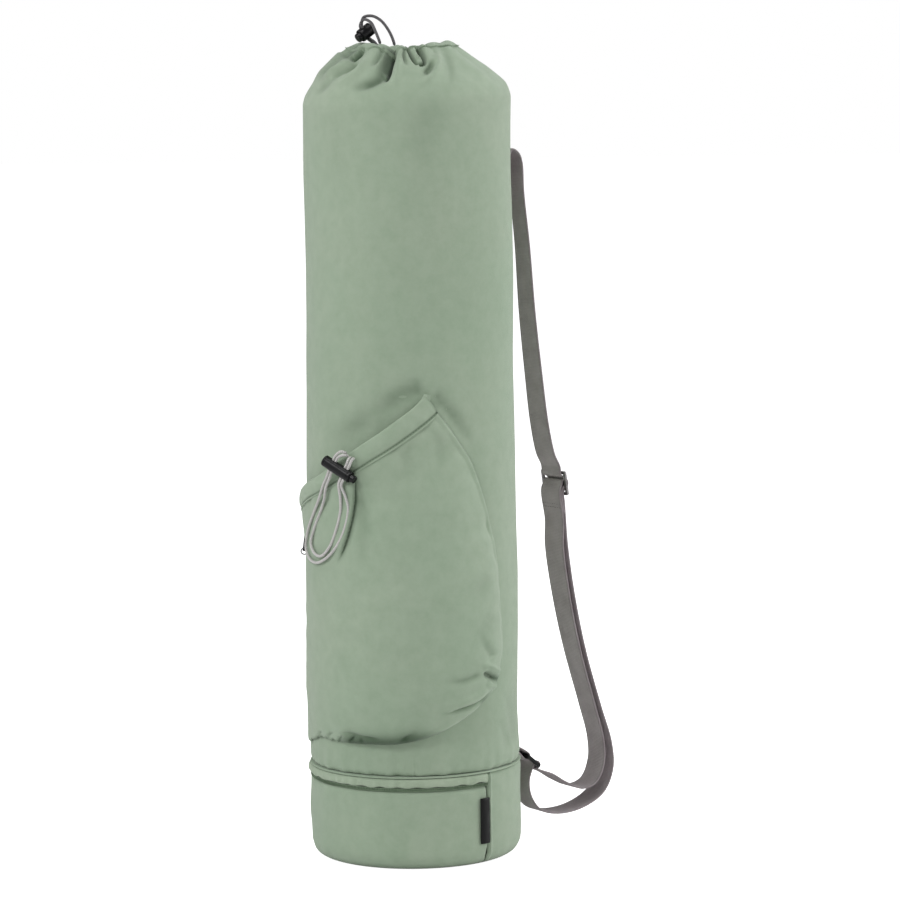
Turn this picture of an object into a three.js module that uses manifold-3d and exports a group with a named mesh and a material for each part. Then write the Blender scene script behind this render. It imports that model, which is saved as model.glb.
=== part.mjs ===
import * as THREE from "three";
import { mergeVertices } from "three/addons/utils/BufferGeometryUtils.js";
import Module from "manifold-3d";

// Yoga mat bag in millimetres, +Z up. The origin is the middle of its flat bottom.
// The bottle pocket faces -Y and the shoulder strap hangs on the +X side.
// An azimuth is in degrees, 0 at the front and +90 at the strap's side.

const wasm = await Module();
wasm.setup();

// Cloth and the gap between pieces
const GAP = 0.3;
const CLOTH = 1.4;
const HEM_THICKNESS = 2.8;

// Sides of the round shapes
const AROUND = 64;
const FRONT_STEPS = 34;
const BACK_STEPS = 17;
const DISC_SIDES = 40;
const LOCK_SIDES = 18;

// Tube of the bag
const BASE_RADIUS = 91;
const TOP_RADIUS = 89;
const SEAM_HEIGHT = 80;
const SHOULDER_HEIGHT = 643;
const SHOULDER_RISE = 48;
const MOUTH_RADIUS = 46;
const MOUTH_HOLE_RADIUS = 29;
const CASING_RISE = 4.6;
const CASING_DIP = 0.6;
const CASING_FOLD = 0.56;
const GATHER_DEPTH = 8;

// Bottom compartment
const EDGE_RADIUS = 14;
const FRONT_SEAM_AZIMUTH = 43;
const BACK_SEAM_AZIMUTH = -197;
const SEAM_SHARE = 0.6;
const ZIP_BOTTOM = 68;
const ZIP_RECESS = 1;
const FLAP_HEIGHT = 7.6;
const FLAP_PUFF = 1.3;
const FLAP_SETBACK = 0.4;

// Zip slider and its pull
const ZIP_SLIDER_SEAT = 0.6;
const ZIP_SLIDER_AZIMUTH = -189;
const ZIP_SLIDER_LENGTH = 11;
const ZIP_SLIDER_WIDTH = 6.4;
const ZIP_SLIDER_DEPTH = 3.4;
const ZIP_NECK_LENGTH = 3;
const ZIP_PULL_LENGTH = 22;
const ZIP_PULL_WIDTH = 6;
const ZIP_PULL_THICKNESS = 1.6;
const ZIP_PULL_GAP = 1.6;

// Label in the front seam
const LABEL_WIDTH = 9;
const LABEL_BOTTOM = 20;
const LABEL_TOP = 58;
const LABEL_THICKNESS = 0.9;

// Bottle pocket
const POCKET_FOOT = 100;
const POCKET_HEIGHT = 300;
const POCKET_LEFT_AZIMUTH = -92;
const POCKET_BULGE = 21;
const MOUTH_PUFF = 3;
const HEM_WIDTH = 17;
const PANEL_MEAN = 0.8;
const PANEL_LEAST = 0.6;
const BELLY_SKEW = 1.6;
const BELLY_FULLNESS = 0.8;
const PUFF_FULLNESS = 0.4;
const PUFF_START = 0.8;
const PUFF_RISE = 0.14;

// Shoulder strap
const WEBBING_WIDTH = 25;
const WEBBING = 1.5;
const STRAP_AZIMUTH = 118;
const ANCHOR_HEIGHT = 576;
const ANCHOR_LENGTH = 26;
const ANCHOR_TURN = 3.4;
const STRAP_REACH = 100;
// Shares of the gap, of the webbing's thickness and of the ring's way out
const ANCHOR_STAND = 1.5;
const TAB_START_RISE = 1.6;
const TAB_UPPER_OUT = 0.29;
const TAB_UPPER_RISE = 0.87;
const TAB_LOWER_OUT = 0.18;
const TAB_LOWER_DROP = 1.67;
const BAR_SLACK = 0.65;

// Three-bar slider of the strap
const SLIDER_HEIGHT = 309;
const SLIDER_OUT = 59;
const SLIDER_LEAN = 9;
const SLIDER_THICKNESS = 2.2;
const SLIDER_BAR = 2.6;
const SLIDER_SLOT = 6.8;
const SLIDER_SIDE = 2.6;
const SLOT_SIDE_GAP = 0.7;
const LAYER_GAP = 0.45;
const SEWN_TAIL = 26;

// Lower ring and its tab
const RING_OUT = 12;
const RING_HEIGHT = 73;
const RING_LEAN = 40;
const RING_PITCH = 14;
const RING_BAR = 3;
const FRAME_CORNER = 1.6;

// Key tab in the left side seam
const KEY_AZIMUTH = -96;
const KEY_TOP = 279;
const KEY_LENGTH = 19;
const KEY_WIDTH = 5;
const KEY_THICKNESS = 2.4;
const KEY_EYELET_RADIUS = 1.15;
const KEY_EYELET_WALL = 1;
const KEY_RING_RADIUS = 2.7;
const KEY_RING_WIRE = 0.55;
const KEY_LOOP_SLACK = 0.1;

// Cord locks: a bored barrel and its sprung plunger, both slotted across for the cord
const LOCK_END_WALL = 1.4;
const LOCK_SIDE_WALL = 1.3;
const LOCK_FIT = 0.3;
const LOCK_CHAMFER = 1;
const STRAND_GAP = 0.4;

// Lock on the pocket's cord, with two holes in line
const POCKET_CORD = 2.4;
const POCKET_LOCK_RADIUS = 4.9;
const POCKET_LOCK_TRAVEL = 3;
const POCKET_HOLE_PITCH = 13;
const POCKET_LOCK_STUB = 4.6;
const POCKET_LOCK_AZIMUTH = -32;
const POCKET_LOCK_OUT = 110.9;
const POCKET_LOCK_HEIGHT = 341.2;
const POCKET_LOCK_ROLL = 27;

// Lock on the mouth's cord, with one hole for two strands side by side
const MOUTH_CORD = 2.5;
const MOUTH_LOCK_RADIUS = 5.6;
const MOUTH_LOCK_TRAVEL = 2.5;
const MOUTH_LOCK_STUB = 3.6;
const MOUTH_LOCK_PLACE = new THREE.Vector3(-35, -12, 702);
const MOUTH_LOCK_AXIS = new THREE.Vector3(-0.7, -0.45, -0.55);
const MOUTH_LOCK_ENTRY = new THREE.Vector3(-0.5, -0.2, 0.84);

// Colours and finishes
const sage = new THREE.MeshStandardMaterial({ color: 0xa0b09b, roughness: 0.85, metalness: 0 });
const webbing = new THREE.MeshStandardMaterial({ color: 0x787073, roughness: 0.9, metalness: 0 });
const black = new THREE.MeshStandardMaterial({ color: 0x101013, roughness: 0.4, metalness: 0 });
const paleCord = new THREE.MeshStandardMaterial({ color: 0xaaaaa8, roughness: 0.85, metalness: 0 });
const darkCord = new THREE.MeshStandardMaterial({ color: 0x55555a, roughness: 0.85, metalness: 0 });
const steel = new THREE.MeshStandardMaterial({ color: 0x8d8d90, roughness: 0.35, metalness: 1 });

const bag = new THREE.Group();

function addPiece(name, geometry, material, parent = bag) {
  const mesh = new THREE.Mesh(geometry, material);
  mesh.name = name;
  parent.add(mesh);
  return mesh;
}

function around(azimuth, radius, height) {
  const a = THREE.MathUtils.degToRad(azimuth);
  return new THREE.Vector3(radius * Math.sin(a), -radius * Math.cos(a), height);
}

const clamp01 = (value) => Math.min(1, Math.max(0, value));
const smooth = (value) => {
  const t = clamp01(value);
  return t * t * (3 - 2 * t);
};

function bodyRadius(height) {
  return BASE_RADIUS + (TOP_RADIUS - BASE_RADIUS) * clamp01(height / SHOULDER_HEIGHT);
}

// Straight-line reading of one column of a table against another
function readTable(table, key, column, at) {
  let i = 1;
  while (i < table.length - 1 && table[i][key] < at) i += 1;
  const low = table[i - 1];
  const high = table[i];
  const t = (at - low[key]) / (high[key] - low[key]);
  return low[column] + (high[column] - low[column]) * t;
}

// Grid of points as a closed surface: columns[i][j], each column a closed loop of points.
// A full turn joins the last column to the first, otherwise the two end loops are capped.
function loopsGeometry(columns, fullTurn) {
  const rows = columns[0].length;
  const positions = columns.flat().flatMap((p) => [p.x, p.y, p.z]);
  const index = [];
  const at = (i, j) => (i % columns.length) * rows + (j % rows);
  const spans = fullTurn ? columns.length : columns.length - 1;
  for (let i = 0; i < spans; i += 1) {
    for (let j = 0; j < rows; j += 1) {
      index.push(at(i, j), at(i + 1, j), at(i + 1, j + 1));
      index.push(at(i, j), at(i + 1, j + 1), at(i, j + 1));
    }
  }
  if (!fullTurn) {
    // Each end loop folds in two halves that face each other, and the cap is a strip between them.
    const last = columns.length - 1;
    for (let j = 0; j < rows / 2 - 1; j += 1) {
      const k = rows - 1 - j;
      index.push(at(0, j), at(0, j + 1), at(0, k - 1));
      index.push(at(0, j), at(0, k - 1), at(0, k));
      index.push(at(last, j), at(last, k - 1), at(last, j + 1));
      index.push(at(last, j), at(last, k), at(last, k - 1));
    }
  }
  const geometry = new THREE.BufferGeometry();
  geometry.setAttribute("position", new THREE.Float32BufferAttribute(positions, 3));
  geometry.setIndex(index);
  geometry.computeVertexNormals();
  return geometry;
}

// Cloth skin: outside(i, j) and inside(i, j) give its two faces, j runs upward and i to the right.
function skin(columnCount, rowCount, outside, inside, fullTurn) {
  const columns = [];
  for (let i = 0; i < columnCount; i += 1) {
    const outer = [];
    const inner = [];
    for (let j = 0; j < rowCount; j += 1) {
      outer.push(outside(i, j));
      inner.push(inside(i, j));
    }
    columns.push([...outer, ...inner.reverse()]);
  }
  return loopsGeometry(columns, fullTurn);
}

// Band of cloth between two azimuths, from a profile of {radius, height} on each face
function band(from, to, steps, outerProfile, innerProfile) {
  const azimuth = (i) => from + ((to - from) * i) / steps;
  const point = (profile) => (i, j) => around(azimuth(i), profile[j].radius, profile[j].height);
  const full = to - from === 360;
  const columns = full ? steps : steps + 1;
  return skin(columns, outerProfile.length, point(outerProfile), point(innerProfile), full);
}

function solidOf(geometry) {
  const bare = geometry.clone();
  bare.deleteAttribute("normal");
  bare.deleteAttribute("uv");
  const merged = mergeVertices(bare, 1e-4);
  const triVerts = new Uint32Array(merged.index.array);
  const vertProperties = merged.attributes.position.array;
  return new wasm.Manifold(new wasm.Mesh({ numProp: 3, vertProperties, triVerts }));
}

function geometryOf(solid) {
  const mesh = solid.getMesh();
  const geometry = new THREE.BufferGeometry();
  geometry.setAttribute("position", new THREE.BufferAttribute(mesh.vertProperties, 3));
  geometry.setIndex(new THREE.BufferAttribute(mesh.triVerts, 1));
  geometry.computeVertexNormals();
  return geometry;
}

// Round solid about Z from a profile of [radius, height] pairs that starts and ends on the axis
function turned(profile, segments) {
  const points = profile.map(([radius, height]) => new THREE.Vector2(radius, height));
  return new THREE.LatheGeometry(points, segments).rotateX(Math.PI / 2);
}

// Tube of the bag with its shoulder and gathers

// Shoulder outline: share of its rise against the share of the way in to the mouth, per side
const SHOULDER = [
  { rise: 0, right: 0, left: 0 },
  { rise: 0.16, right: 0.015, left: 0.05 },
  { rise: 0.36, right: 0.12, left: 0.18 },
  { rise: 0.58, right: 0.37, left: 0.35 },
  { rise: 0.77, right: 0.63, left: 0.54 },
  { rise: 0.93, right: 0.87, left: 0.73 },
  { rise: 1, right: 1, left: 0.84 },
];

// Mouth casing outline: share of the way in to the hole against the share of its rise
const CASING = [
  { inward: 0.04, rise: 0.1 },
  { inward: 0.32, rise: 0.82 },
  { inward: 0.66, rise: 1 },
  { inward: 0.93, rise: 0.45 },
  { inward: 1, rise: -0.7 },
];

// Gathers of the mouth: azimuth, half width in degrees, share of the full depth, and the share of
// the shoulder's rise at which each one begins
const GATHERS = [
  { azimuth: -70, width: 11, depth: 0.35, begin: 0.2 },
  { azimuth: -42, width: 7, depth: 0.55, begin: 0.5 },
  { azimuth: -13, width: 8, depth: 1, begin: 0.3 },
  { azimuth: 11, width: 6, depth: 0.8, begin: 0.55 },
  { azimuth: 27, width: 6, depth: 0.35, begin: 0.4 },
  { azimuth: 60, width: 12, depth: 0.25, begin: 0.5 },
  { azimuth: 95, width: 9, depth: 0.6, begin: 0.35 },
  { azimuth: 122, width: 8, depth: 0.8, begin: 0.25 },
  { azimuth: 149, width: 8, depth: 0.7, begin: 0.4 },
  { azimuth: 176, width: 9, depth: 0.9, begin: 0.25 },
  { azimuth: 203, width: 8, depth: 0.65, begin: 0.35 },
  { azimuth: 231, width: 9, depth: 0.85, begin: 0.3 },
  { azimuth: 260, width: 8, depth: 0.6, begin: 0.4 },
];

function gatherDepth(azimuth, share) {
  let depth = 0;
  for (const row of GATHERS) {
    const turn = ((azimuth - row.azimuth + 540) % 360) - 180;
    const across = Math.exp(-((turn / row.width) ** 2));
    depth += row.depth * across * smooth((share - row.begin) / (1 - row.begin));
  }
  return GATHER_DEPTH * depth;
}

function mouthRadius(azimuth) {
  const rightward = (1 + Math.sin(THREE.MathUtils.degToRad(azimuth))) / 2;
  const end = SHOULDER[SHOULDER.length - 1];
  const inward = end.left + (end.right - end.left) * rightward;
  return TOP_RADIUS + (MOUTH_RADIUS - TOP_RADIUS) * inward;
}

// Shoulder point at one row of its table, moved in from the outer face by depth
function shoulderPoint(azimuth, row, depth) {
  const rightward = (1 + Math.sin(THREE.MathUtils.degToRad(azimuth))) / 2;
  const at = (entry) => {
    const inward = entry.left + (entry.right - entry.left) * rightward;
    const radius = TOP_RADIUS + (MOUTH_RADIUS - TOP_RADIUS) * inward;
    return new THREE.Vector2(radius, SHOULDER_HEIGHT + SHOULDER_RISE * entry.rise);
  };
  const here = at(SHOULDER[row]);
  const before = at(SHOULDER[Math.max(0, row - 1)]);
  const after = at(SHOULDER[Math.min(SHOULDER.length - 1, row + 1)]);
  const along = after.sub(before).normalize();
  const inset = depth + gatherDepth(azimuth, SHOULDER[row].rise);
  return around(azimuth, here.x - along.y * inset, here.y + along.x * inset);
}

const SLEEVE_ROWS = [SEAM_HEIGHT + CLOTH / 2 + GAP, (SEAM_HEIGHT + SHOULDER_HEIGHT) / 2];

function sleevePoint(depth) {
  return (i, j) => {
    const azimuth = (360 * i) / AROUND;
    const height = SLEEVE_ROWS[j];
    if (height === undefined) return shoulderPoint(azimuth, j - SLEEVE_ROWS.length, depth);
    return around(azimuth, bodyRadius(height) - depth, height);
  };
}

function mainSleeve() {
  const rows = SLEEVE_ROWS.length + SHOULDER.length;
  return skin(AROUND, rows, sleevePoint(0), sleevePoint(CLOTH), true);
}

// Folded hem round the mouth, doubled cloth that rolls in over the drawcord
function casingPoint(depth) {
  return (i, j) => {
    const azimuth = (360 * i) / AROUND;
    const edge = mouthRadius(azimuth);
    const sideways = Math.sin(THREE.MathUtils.degToRad(azimuth)) ** 2;
    const lift = CASING_RISE * (1 - CASING_DIP * (1 - sideways));
    const at = (k) => {
      const row = CASING[Math.min(CASING.length - 1, Math.max(0, k))];
      const radius = edge + (MOUTH_HOLE_RADIUS - edge) * row.inward;
      const height = SHOULDER_HEIGHT + SHOULDER_RISE + GAP + lift * row.rise;
      return new THREE.Vector2(radius, height);
    };
    const along = at(j + 1).sub(at(j - 1)).normalize();
    const lean = j === 0 ? Math.min(depth, CLOTH) : depth;
    const fold = CASING_FOLD * gatherDepth(azimuth, 1);
    const here = at(j);
    return around(azimuth, here.x - along.y * lean - fold, here.y + along.x * lean - fold);
  };
}

function mouthCasing() {
  return skin(AROUND, CASING.length, casingPoint(0), casingPoint(HEM_THICKNESS), true);
}

// Bottom compartment

function wallProfile(top, inset) {
  const profile = [];
  const arcSteps = 3;
  for (let k = 0; k <= arcSteps; k += 1) {
    const a = (Math.PI / 2) * (k / arcSteps);
    const radius = bodyRadius(0) - EDGE_RADIUS + (EDGE_RADIUS - inset) * Math.sin(a);
    profile.push({ radius, height: EDGE_RADIUS - (EDGE_RADIUS - inset) * Math.cos(a) });
  }
  profile.push({ radius: bodyRadius(top) - inset, height: top });
  return profile;
}

function seamTurn(radius) {
  return THREE.MathUtils.radToDeg((SEAM_SHARE * GAP) / radius);
}

function compartmentWall(from, to, steps, top) {
  const slit = seamTurn(BASE_RADIUS - EDGE_RADIUS);
  return band(from + slit, to - slit, steps, wallProfile(top, 0), wallProfile(top, CLOTH));
}

const frontPanel = () =>
  compartmentWall(BACK_SEAM_AZIMUTH, FRONT_SEAM_AZIMUTH, FRONT_STEPS, ZIP_BOTTOM);

const backPanel = () =>
  compartmentWall(FRONT_SEAM_AZIMUTH, BACK_SEAM_AZIMUTH + 360, BACK_STEPS, FLAP_TOP);

const FLAP_TOP = SEAM_HEIGHT - CLOTH / 2 - GAP;
const FLAP_BOTTOM = FLAP_TOP - FLAP_HEIGHT;

// Rolled cloth band that hangs over the zip
function zipFlap() {
  const radius = bodyRadius(FLAP_TOP);
  const outer = [0, 0.45, 1].map((share) => ({
    radius: radius - FLAP_SETBACK + FLAP_PUFF * Math.sin(Math.PI * share),
    height: FLAP_BOTTOM + FLAP_HEIGHT * share,
  }));
  const inner = outer.map(({ height }) => ({ radius: radius - 2 * CLOTH, height }));
  return partBand(outer, inner);
}

function partBand(outer, inner) {
  const slit = 2 * seamTurn(BASE_RADIUS);
  return band(BACK_SEAM_AZIMUTH + slit, FRONT_SEAM_AZIMUTH - slit, FRONT_STEPS, outer, inner);
}

// Zip with its closed teeth, set back under the flap
function zipTape() {
  const bottom = ZIP_BOTTOM + GAP;
  const top = FLAP_BOTTOM - GAP;
  const radius = bodyRadius(bottom) - ZIP_RECESS;
  const outer = [bottom, top].map((height) => ({ radius, height }));
  const inner = [bottom, top].map((height) => ({ radius: radius - CLOTH, height }));
  return partBand(outer, inner);
}

function disc(radius, bottom, top) {
  return turned([[0, bottom], [radius, bottom], [radius, top], [0, top]], DISC_SIDES);
}

const dividerPanel = () =>
  disc(bodyRadius(SEAM_HEIGHT), SEAM_HEIGHT - CLOTH / 2, SEAM_HEIGHT + CLOTH / 2);

function seamLabel() {
  const turn = THREE.MathUtils.radToDeg(LABEL_WIDTH / bodyRadius(LABEL_TOP));
  const face = (clearance) =>
    [LABEL_BOTTOM, LABEL_TOP].map((height) => ({ radius: bodyRadius(height) + clearance, height }));
  const outer = face(2 * GAP + LABEL_THICKNESS);
  return band(FRONT_SEAM_AZIMUTH - turn, FRONT_SEAM_AZIMUTH, 3, outer, face(2 * GAP));
}

// Zip slider with its pull, closed end of the zip at the back
function zipSlider() {
  const neckPlace = ZIP_NECK_LENGTH;
  const neckDepth = ZIP_PULL_GAP + ZIP_PULL_THICKNESS;
  const neckOut = ZIP_SLIDER_DEPTH + ZIP_PULL_GAP / 2;
  const pullPlace = neckPlace - ZIP_NECK_LENGTH + ZIP_PULL_LENGTH / 2;
  const pullOut = ZIP_SLIDER_DEPTH + ZIP_PULL_GAP + ZIP_PULL_THICKNESS / 2;
  const body = new THREE.BoxGeometry(ZIP_SLIDER_LENGTH, ZIP_SLIDER_DEPTH, ZIP_SLIDER_WIDTH);
  const neck = new THREE.BoxGeometry(ZIP_NECK_LENGTH, neckDepth, ZIP_PULL_WIDTH / 2);
  const pull = new THREE.BoxGeometry(ZIP_PULL_LENGTH, ZIP_PULL_THICKNESS, ZIP_PULL_WIDTH);
  const solid = solidOf(body.translate(0, -ZIP_SLIDER_DEPTH / 2, 0))
    .add(solidOf(neck.translate(neckPlace, -neckOut, 0)))
    .add(solidOf(pull.translate(pullPlace, -pullOut, 0)));
  return geometryOf(solid);
}

// Bottle pocket. Its outline is four edges, read as azimuth and share of the pocket's height.

const POCKET_BOTTOM_EDGE = [
  { azimuth: POCKET_LEFT_AZIMUTH, share: 0.015 },
  { azimuth: -78, share: 0 },
  { azimuth: -60, share: 0.022 },
  { azimuth: -32, share: 0.025 },
  { azimuth: -8, share: 0.03 },
  { azimuth: 10, share: 0.052 },
  { azimuth: 25, share: 0.088 },
  { azimuth: 38, share: 0.13 },
  { azimuth: 48, share: 0.175 },
  { azimuth: 54, share: 0.225 },
];

const POCKET_MOUTH_EDGE = [
  { azimuth: POCKET_LEFT_AZIMUTH, share: 0.69 },
  { azimuth: -74, share: 0.727 },
  { azimuth: -53, share: 0.773 },
  { azimuth: -42, share: 0.803 },
  { azimuth: -32, share: 0.84 },
  { azimuth: -23, share: 0.875 },
  { azimuth: -14, share: 0.91 },
  { azimuth: -4.5, share: 0.95 },
  { azimuth: 3, share: 0.98 },
  { azimuth: 8.2, share: 1 },
];

const POCKET_RIGHT_EDGE = [
  { azimuth: 54, share: 0.225 },
  { azimuth: 55, share: 0.3 },
  { azimuth: 53, share: 0.42 },
  { azimuth: 50, share: 0.55 },
  { azimuth: 45, share: 0.65 },
  { azimuth: 40, share: 0.735 },
  { azimuth: 33.5, share: 0.82 },
  { azimuth: 24.5, share: 0.893 },
  { azimuth: 16, share: 0.953 },
  { azimuth: 8.2, share: 1 },
];

// Edge as a smooth curve on the unrolled tube, so that equal shares are equal lengths
function edgeCurve(table) {
  const perDegree = (Math.PI / 180) * TOP_RADIUS;
  const points = table.map(
    (row) => new THREE.Vector2(row.azimuth * perDegree, POCKET_FOOT + POCKET_HEIGHT * row.share),
  );
  return new THREE.SplineCurve(points);
}

const bottomEdge = edgeCurve(POCKET_BOTTOM_EDGE);
const mouthEdge = edgeCurve(POCKET_MOUTH_EDGE);
const rightEdge = edgeCurve(POCKET_RIGHT_EDGE);
const leftEdge = edgeCurve([POCKET_BOTTOM_EDGE[0], POCKET_MOUTH_EDGE[0]]);

// Point of the unrolled pocket: u runs from its left seam to its right one, v from foot to mouth
function pocketPlace(u, v) {
  const bottom = bottomEdge.getPointAt(u);
  const mouth = mouthEdge.getPointAt(u);
  const left = leftEdge.getPointAt(v);
  const right = rightEdge.getPointAt(v);
  const footLeft = leftEdge.getPoint(0);
  const footRight = rightEdge.getPoint(0);
  const topLeft = leftEdge.getPoint(1);
  const topRight = rightEdge.getPoint(1);
  const corner = (key) =>
    (1 - u) * (1 - v) * footLeft[key] + u * (1 - v) * footRight[key] +
    (1 - u) * v * topLeft[key] + u * v * topRight[key];
  const at = (key) =>
    (1 - v) * bottom[key] + v * mouth[key] + (1 - u) * left[key] + u * right[key] - corner(key);
  return { azimuth: at("x") / ((Math.PI / 180) * TOP_RADIUS), height: at("y") };
}

// Stand-off of the pocket from the tube: a full belly over the foot, slimmer at the mouth
const BELLY = [
  { v: 0, stand: 0 },
  { v: 0.035, stand: 0.42 },
  { v: 0.08, stand: 0.7 },
  { v: 0.15, stand: 0.9 },
  { v: 0.27, stand: 1 },
  { v: 0.45, stand: 0.97 },
  { v: 0.65, stand: 0.8 },
  { v: 0.85, stand: 0.56 },
  { v: 1, stand: 0.42 },
];

function pocketStand(u, v) {
  const across = Math.sin(Math.PI * clamp01(u) ** BELLY_SKEW) ** BELLY_FULLNESS;
  const rise = smooth((v - PUFF_START) / PUFF_RISE);
  const puff = rise * Math.sin(Math.PI * clamp01(u)) ** PUFF_FULLNESS;
  return POCKET_BULGE * across * readTable(BELLY, "v", "stand", v) + MOUTH_PUFF * puff;
}

function pocketPoint(u, v, depth) {
  const { azimuth, height } = pocketPlace(u, v);
  return around(azimuth, bodyRadius(height) + GAP + pocketStand(u, v) + depth, height);
}

const POCKET_COLUMNS = 26;
const HEM_SHARE = 1 - HEM_WIDTH / (POCKET_HEIGHT * PANEL_MEAN);
const HEM_START = HEM_SHARE + GAP / (POCKET_HEIGHT * PANEL_LEAST);
const PANEL_ROWS = [0, 0.035, 0.08, 0.15, 0.24, 0.34, 0.44, 0.54, 0.64, 0.74, 0.84, HEM_SHARE];
const HEM_ROWS = [HEM_START, (1 + HEM_SHARE) / 2, 1];

function pocketPiece(rows, thickness) {
  const point = (depth) => (i, j) => pocketPoint(i / (POCKET_COLUMNS - 1), rows[j], depth);
  return skin(POCKET_COLUMNS, rows.length, point(thickness), point(0), false);
}

// Shoulder strap. It hangs in an upright sheet that starts at the tube and turns a little with
// height: a point is its way out from the tube, its height and its place across the webbing.

const STRAP_TURNS = [
  { height: 0, turn: 33 },
  { height: 0.25, turn: 35 },
  { height: 0.5, turn: 40 },
  { height: 0.56, turn: 40 },
  { height: 0.8, turn: 33 },
  { height: 0.94, turn: STRAP_AZIMUTH - 90 },
  { height: 1.1, turn: STRAP_AZIMUTH - 90 },
];

function strapTurn(height) {
  const turn = readTable(STRAP_TURNS, "height", "turn", height / ANCHOR_HEIGHT);
  return THREE.MathUtils.degToRad(turn);
}

function strapPoint(out, height, across) {
  const turn = strapTurn(height);
  const foot = around(STRAP_AZIMUTH, bodyRadius(height), height);
  const outward = new THREE.Vector3(Math.cos(turn), Math.sin(turn), 0);
  const sideways = new THREE.Vector3(-Math.sin(turn), Math.cos(turn), 0);
  return foot.addScaledVector(outward, out).addScaledVector(sideways, across);
}

// Strip of webbing along a path of {out, height}, as thick and wide as given
function webbingStrip(path, steps, thickness, width) {
  const line = new THREE.CatmullRomCurve3(
    path.map(({ out, height }) => new THREE.Vector3(out, height, 0)),
    false,
    "centripetal",
  );
  const columns = [];
  const count = steps * (path.length - 1);
  for (let i = 0; i <= count; i += 1) {
    const here = line.getPoint(i / count);
    const along = line.getTangent(i / count).multiplyScalar(thickness / 2);
    const corner = (side, across) =>
      strapPoint(here.x - along.y * side, here.y + along.x * side, across);
    columns.push([
      corner(1, -width / 2), corner(1, width / 2), corner(-1, width / 2), corner(-1, -width / 2),
    ]);
  }
  return loopsGeometry(columns, false);
}

// Upper strand from the sewn anchor over its turned top down to the slider
const STRAP_UPPER = [
  { out: 0.165, height: 0.98 },
  { out: 0.215, height: 0.9 },
  { out: 0.265, height: 0.8 },
  { out: 0.34, height: 0.7 },
  { out: 0.405, height: 0.63 },
  { out: 0.48, height: 0.582 },
];

// Outer strand from the slider down, round the low bend and back to the ring
const STRAP_OUTER = [
  { out: 0.615, height: 0.44 },
  { out: 0.68, height: 0.36 },
  { out: 0.79, height: 0.27 },
  { out: 0.93, height: 0.19 },
  { out: 1.04, height: 0.13 },
  { out: 1.05, height: 0.09 },
  { out: 0.95, height: 0.056 },
  { out: 0.72, height: 0.036 },
  { out: 0.45, height: 0.032 },
  { out: 0.26, height: 0.042 },
  { out: 0.16, height: 0.066 },
  { out: 0.145, height: 0.09 },
];

// Inner strand from the ring back up to the slider
const STRAP_INNER = [
  { out: 0.4, height: 0.093 },
  { out: 0.54, height: 0.078 },
  { out: 0.72, height: 0.065 },
  { out: 0.87, height: 0.072 },
  { out: 0.955, height: 0.1 },
  { out: 0.955, height: 0.135 },
  { out: 0.87, height: 0.19 },
  { out: 0.735, height: 0.27 },
  { out: 0.625, height: 0.36 },
  { out: 0.565, height: 0.44 },
];

const scaled = (rows) =>
  rows.map((row) => ({ out: row.out * STRAP_REACH, height: row.height * ANCHOR_HEIGHT }));

// Turned top of the webbing over its anchor, in shares of its turn
const ANCHOR_FOLD = [
  { out: 0.41, up: -0.88 },
  { out: 1.44, up: 1 },
  { out: 3.03, up: 0.15 },
  { out: 4.06, up: -2.06 },
];

// Sewn anchor flat on the tube and the webbing turned over above it
function anchorPath() {
  const flat = ANCHOR_STAND * GAP + WEBBING / 2;
  const top = ANCHOR_HEIGHT + ANCHOR_LENGTH - ANCHOR_TURN;
  return [
    { out: flat, height: ANCHOR_HEIGHT - ANCHOR_LENGTH / 2 },
    { out: flat, height: ANCHOR_HEIGHT + ANCHOR_LENGTH / 2 },
    ...ANCHOR_FOLD.map(({ out, up }) => ({
      out: flat + out * ANCHOR_TURN,
      height: top + up * ANCHOR_TURN,
    })),
  ];
}

// Weave through the slider in its own frame. Columns are shares: faces of the clearance to the
// middle of webbing that lies on the plate, layers of one more layer, pitch of the slots' pitch
// along the strap and tail of the sewn tail's length. Out is positive and down is positive.
const FACE_CLEAR = SLIDER_THICKNESS / 2 + GAP + WEBBING / 2;
const LAYER = WEBBING + LAYER_GAP;
const SLOT_PITCH = SLIDER_BAR + SLIDER_SLOT;

const WEAVE = [
  { faces: -1.05, pitch: -1.64 },
  { faces: -1.07, pitch: -1.03 },
  { faces: -0.86, pitch: -0.766 },
  { faces: 0.65, pitch: -0.585 },
  { faces: 1, layers: 0.85, pitch: -0.245 },
  { faces: 1, layers: 1.2, pitch: 0.02 },
  { faces: 1, layers: 0.9, pitch: 0.255 },
  { faces: 0.744, pitch: 0.553 },
  { faces: -0.7, pitch: 0.702 },
  { faces: -1.14, pitch: 0.957 },
  { faces: -1.14, pitch: 1.745 },
];

const SEWN_LOOP = [
  { faces: -1, layers: -2.26, tail: 1.23 },
  { faces: -1, layers: -2.26, pitch: 1.043 },
  { faces: -1, layers: -1.65, pitch: 0.447 },
  { faces: -1.14, pitch: 0.02 },
  { faces: -0.884, pitch: -0.223 },
  { faces: 0, pitch: -0.293 },
  { faces: 0.884, pitch: -0.223 },
  { faces: 1.14 },
  { faces: 0.884, pitch: 0.223 },
  { faces: -0.372, pitch: 0.372 },
  { faces: -1, layers: -0.9, pitch: 0.681 },
  { faces: -1, layers: -1.18, pitch: 1.106 },
  { faces: -1, layers: -1.23, tail: 1 },
];

function atSlider({ faces, layers = 0, pitch = 0, tail = 0 }) {
  const out = faces * FACE_CLEAR + layers * LAYER;
  const down = pitch * SLOT_PITCH + tail * SEWN_TAIL;
  const lean = THREE.MathUtils.degToRad(SLIDER_LEAN);
  return {
    out: SLIDER_OUT + out * Math.cos(lean) + down * Math.sin(lean),
    height: SLIDER_HEIGHT - down * Math.cos(lean) + out * Math.sin(lean),
  };
}

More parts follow.
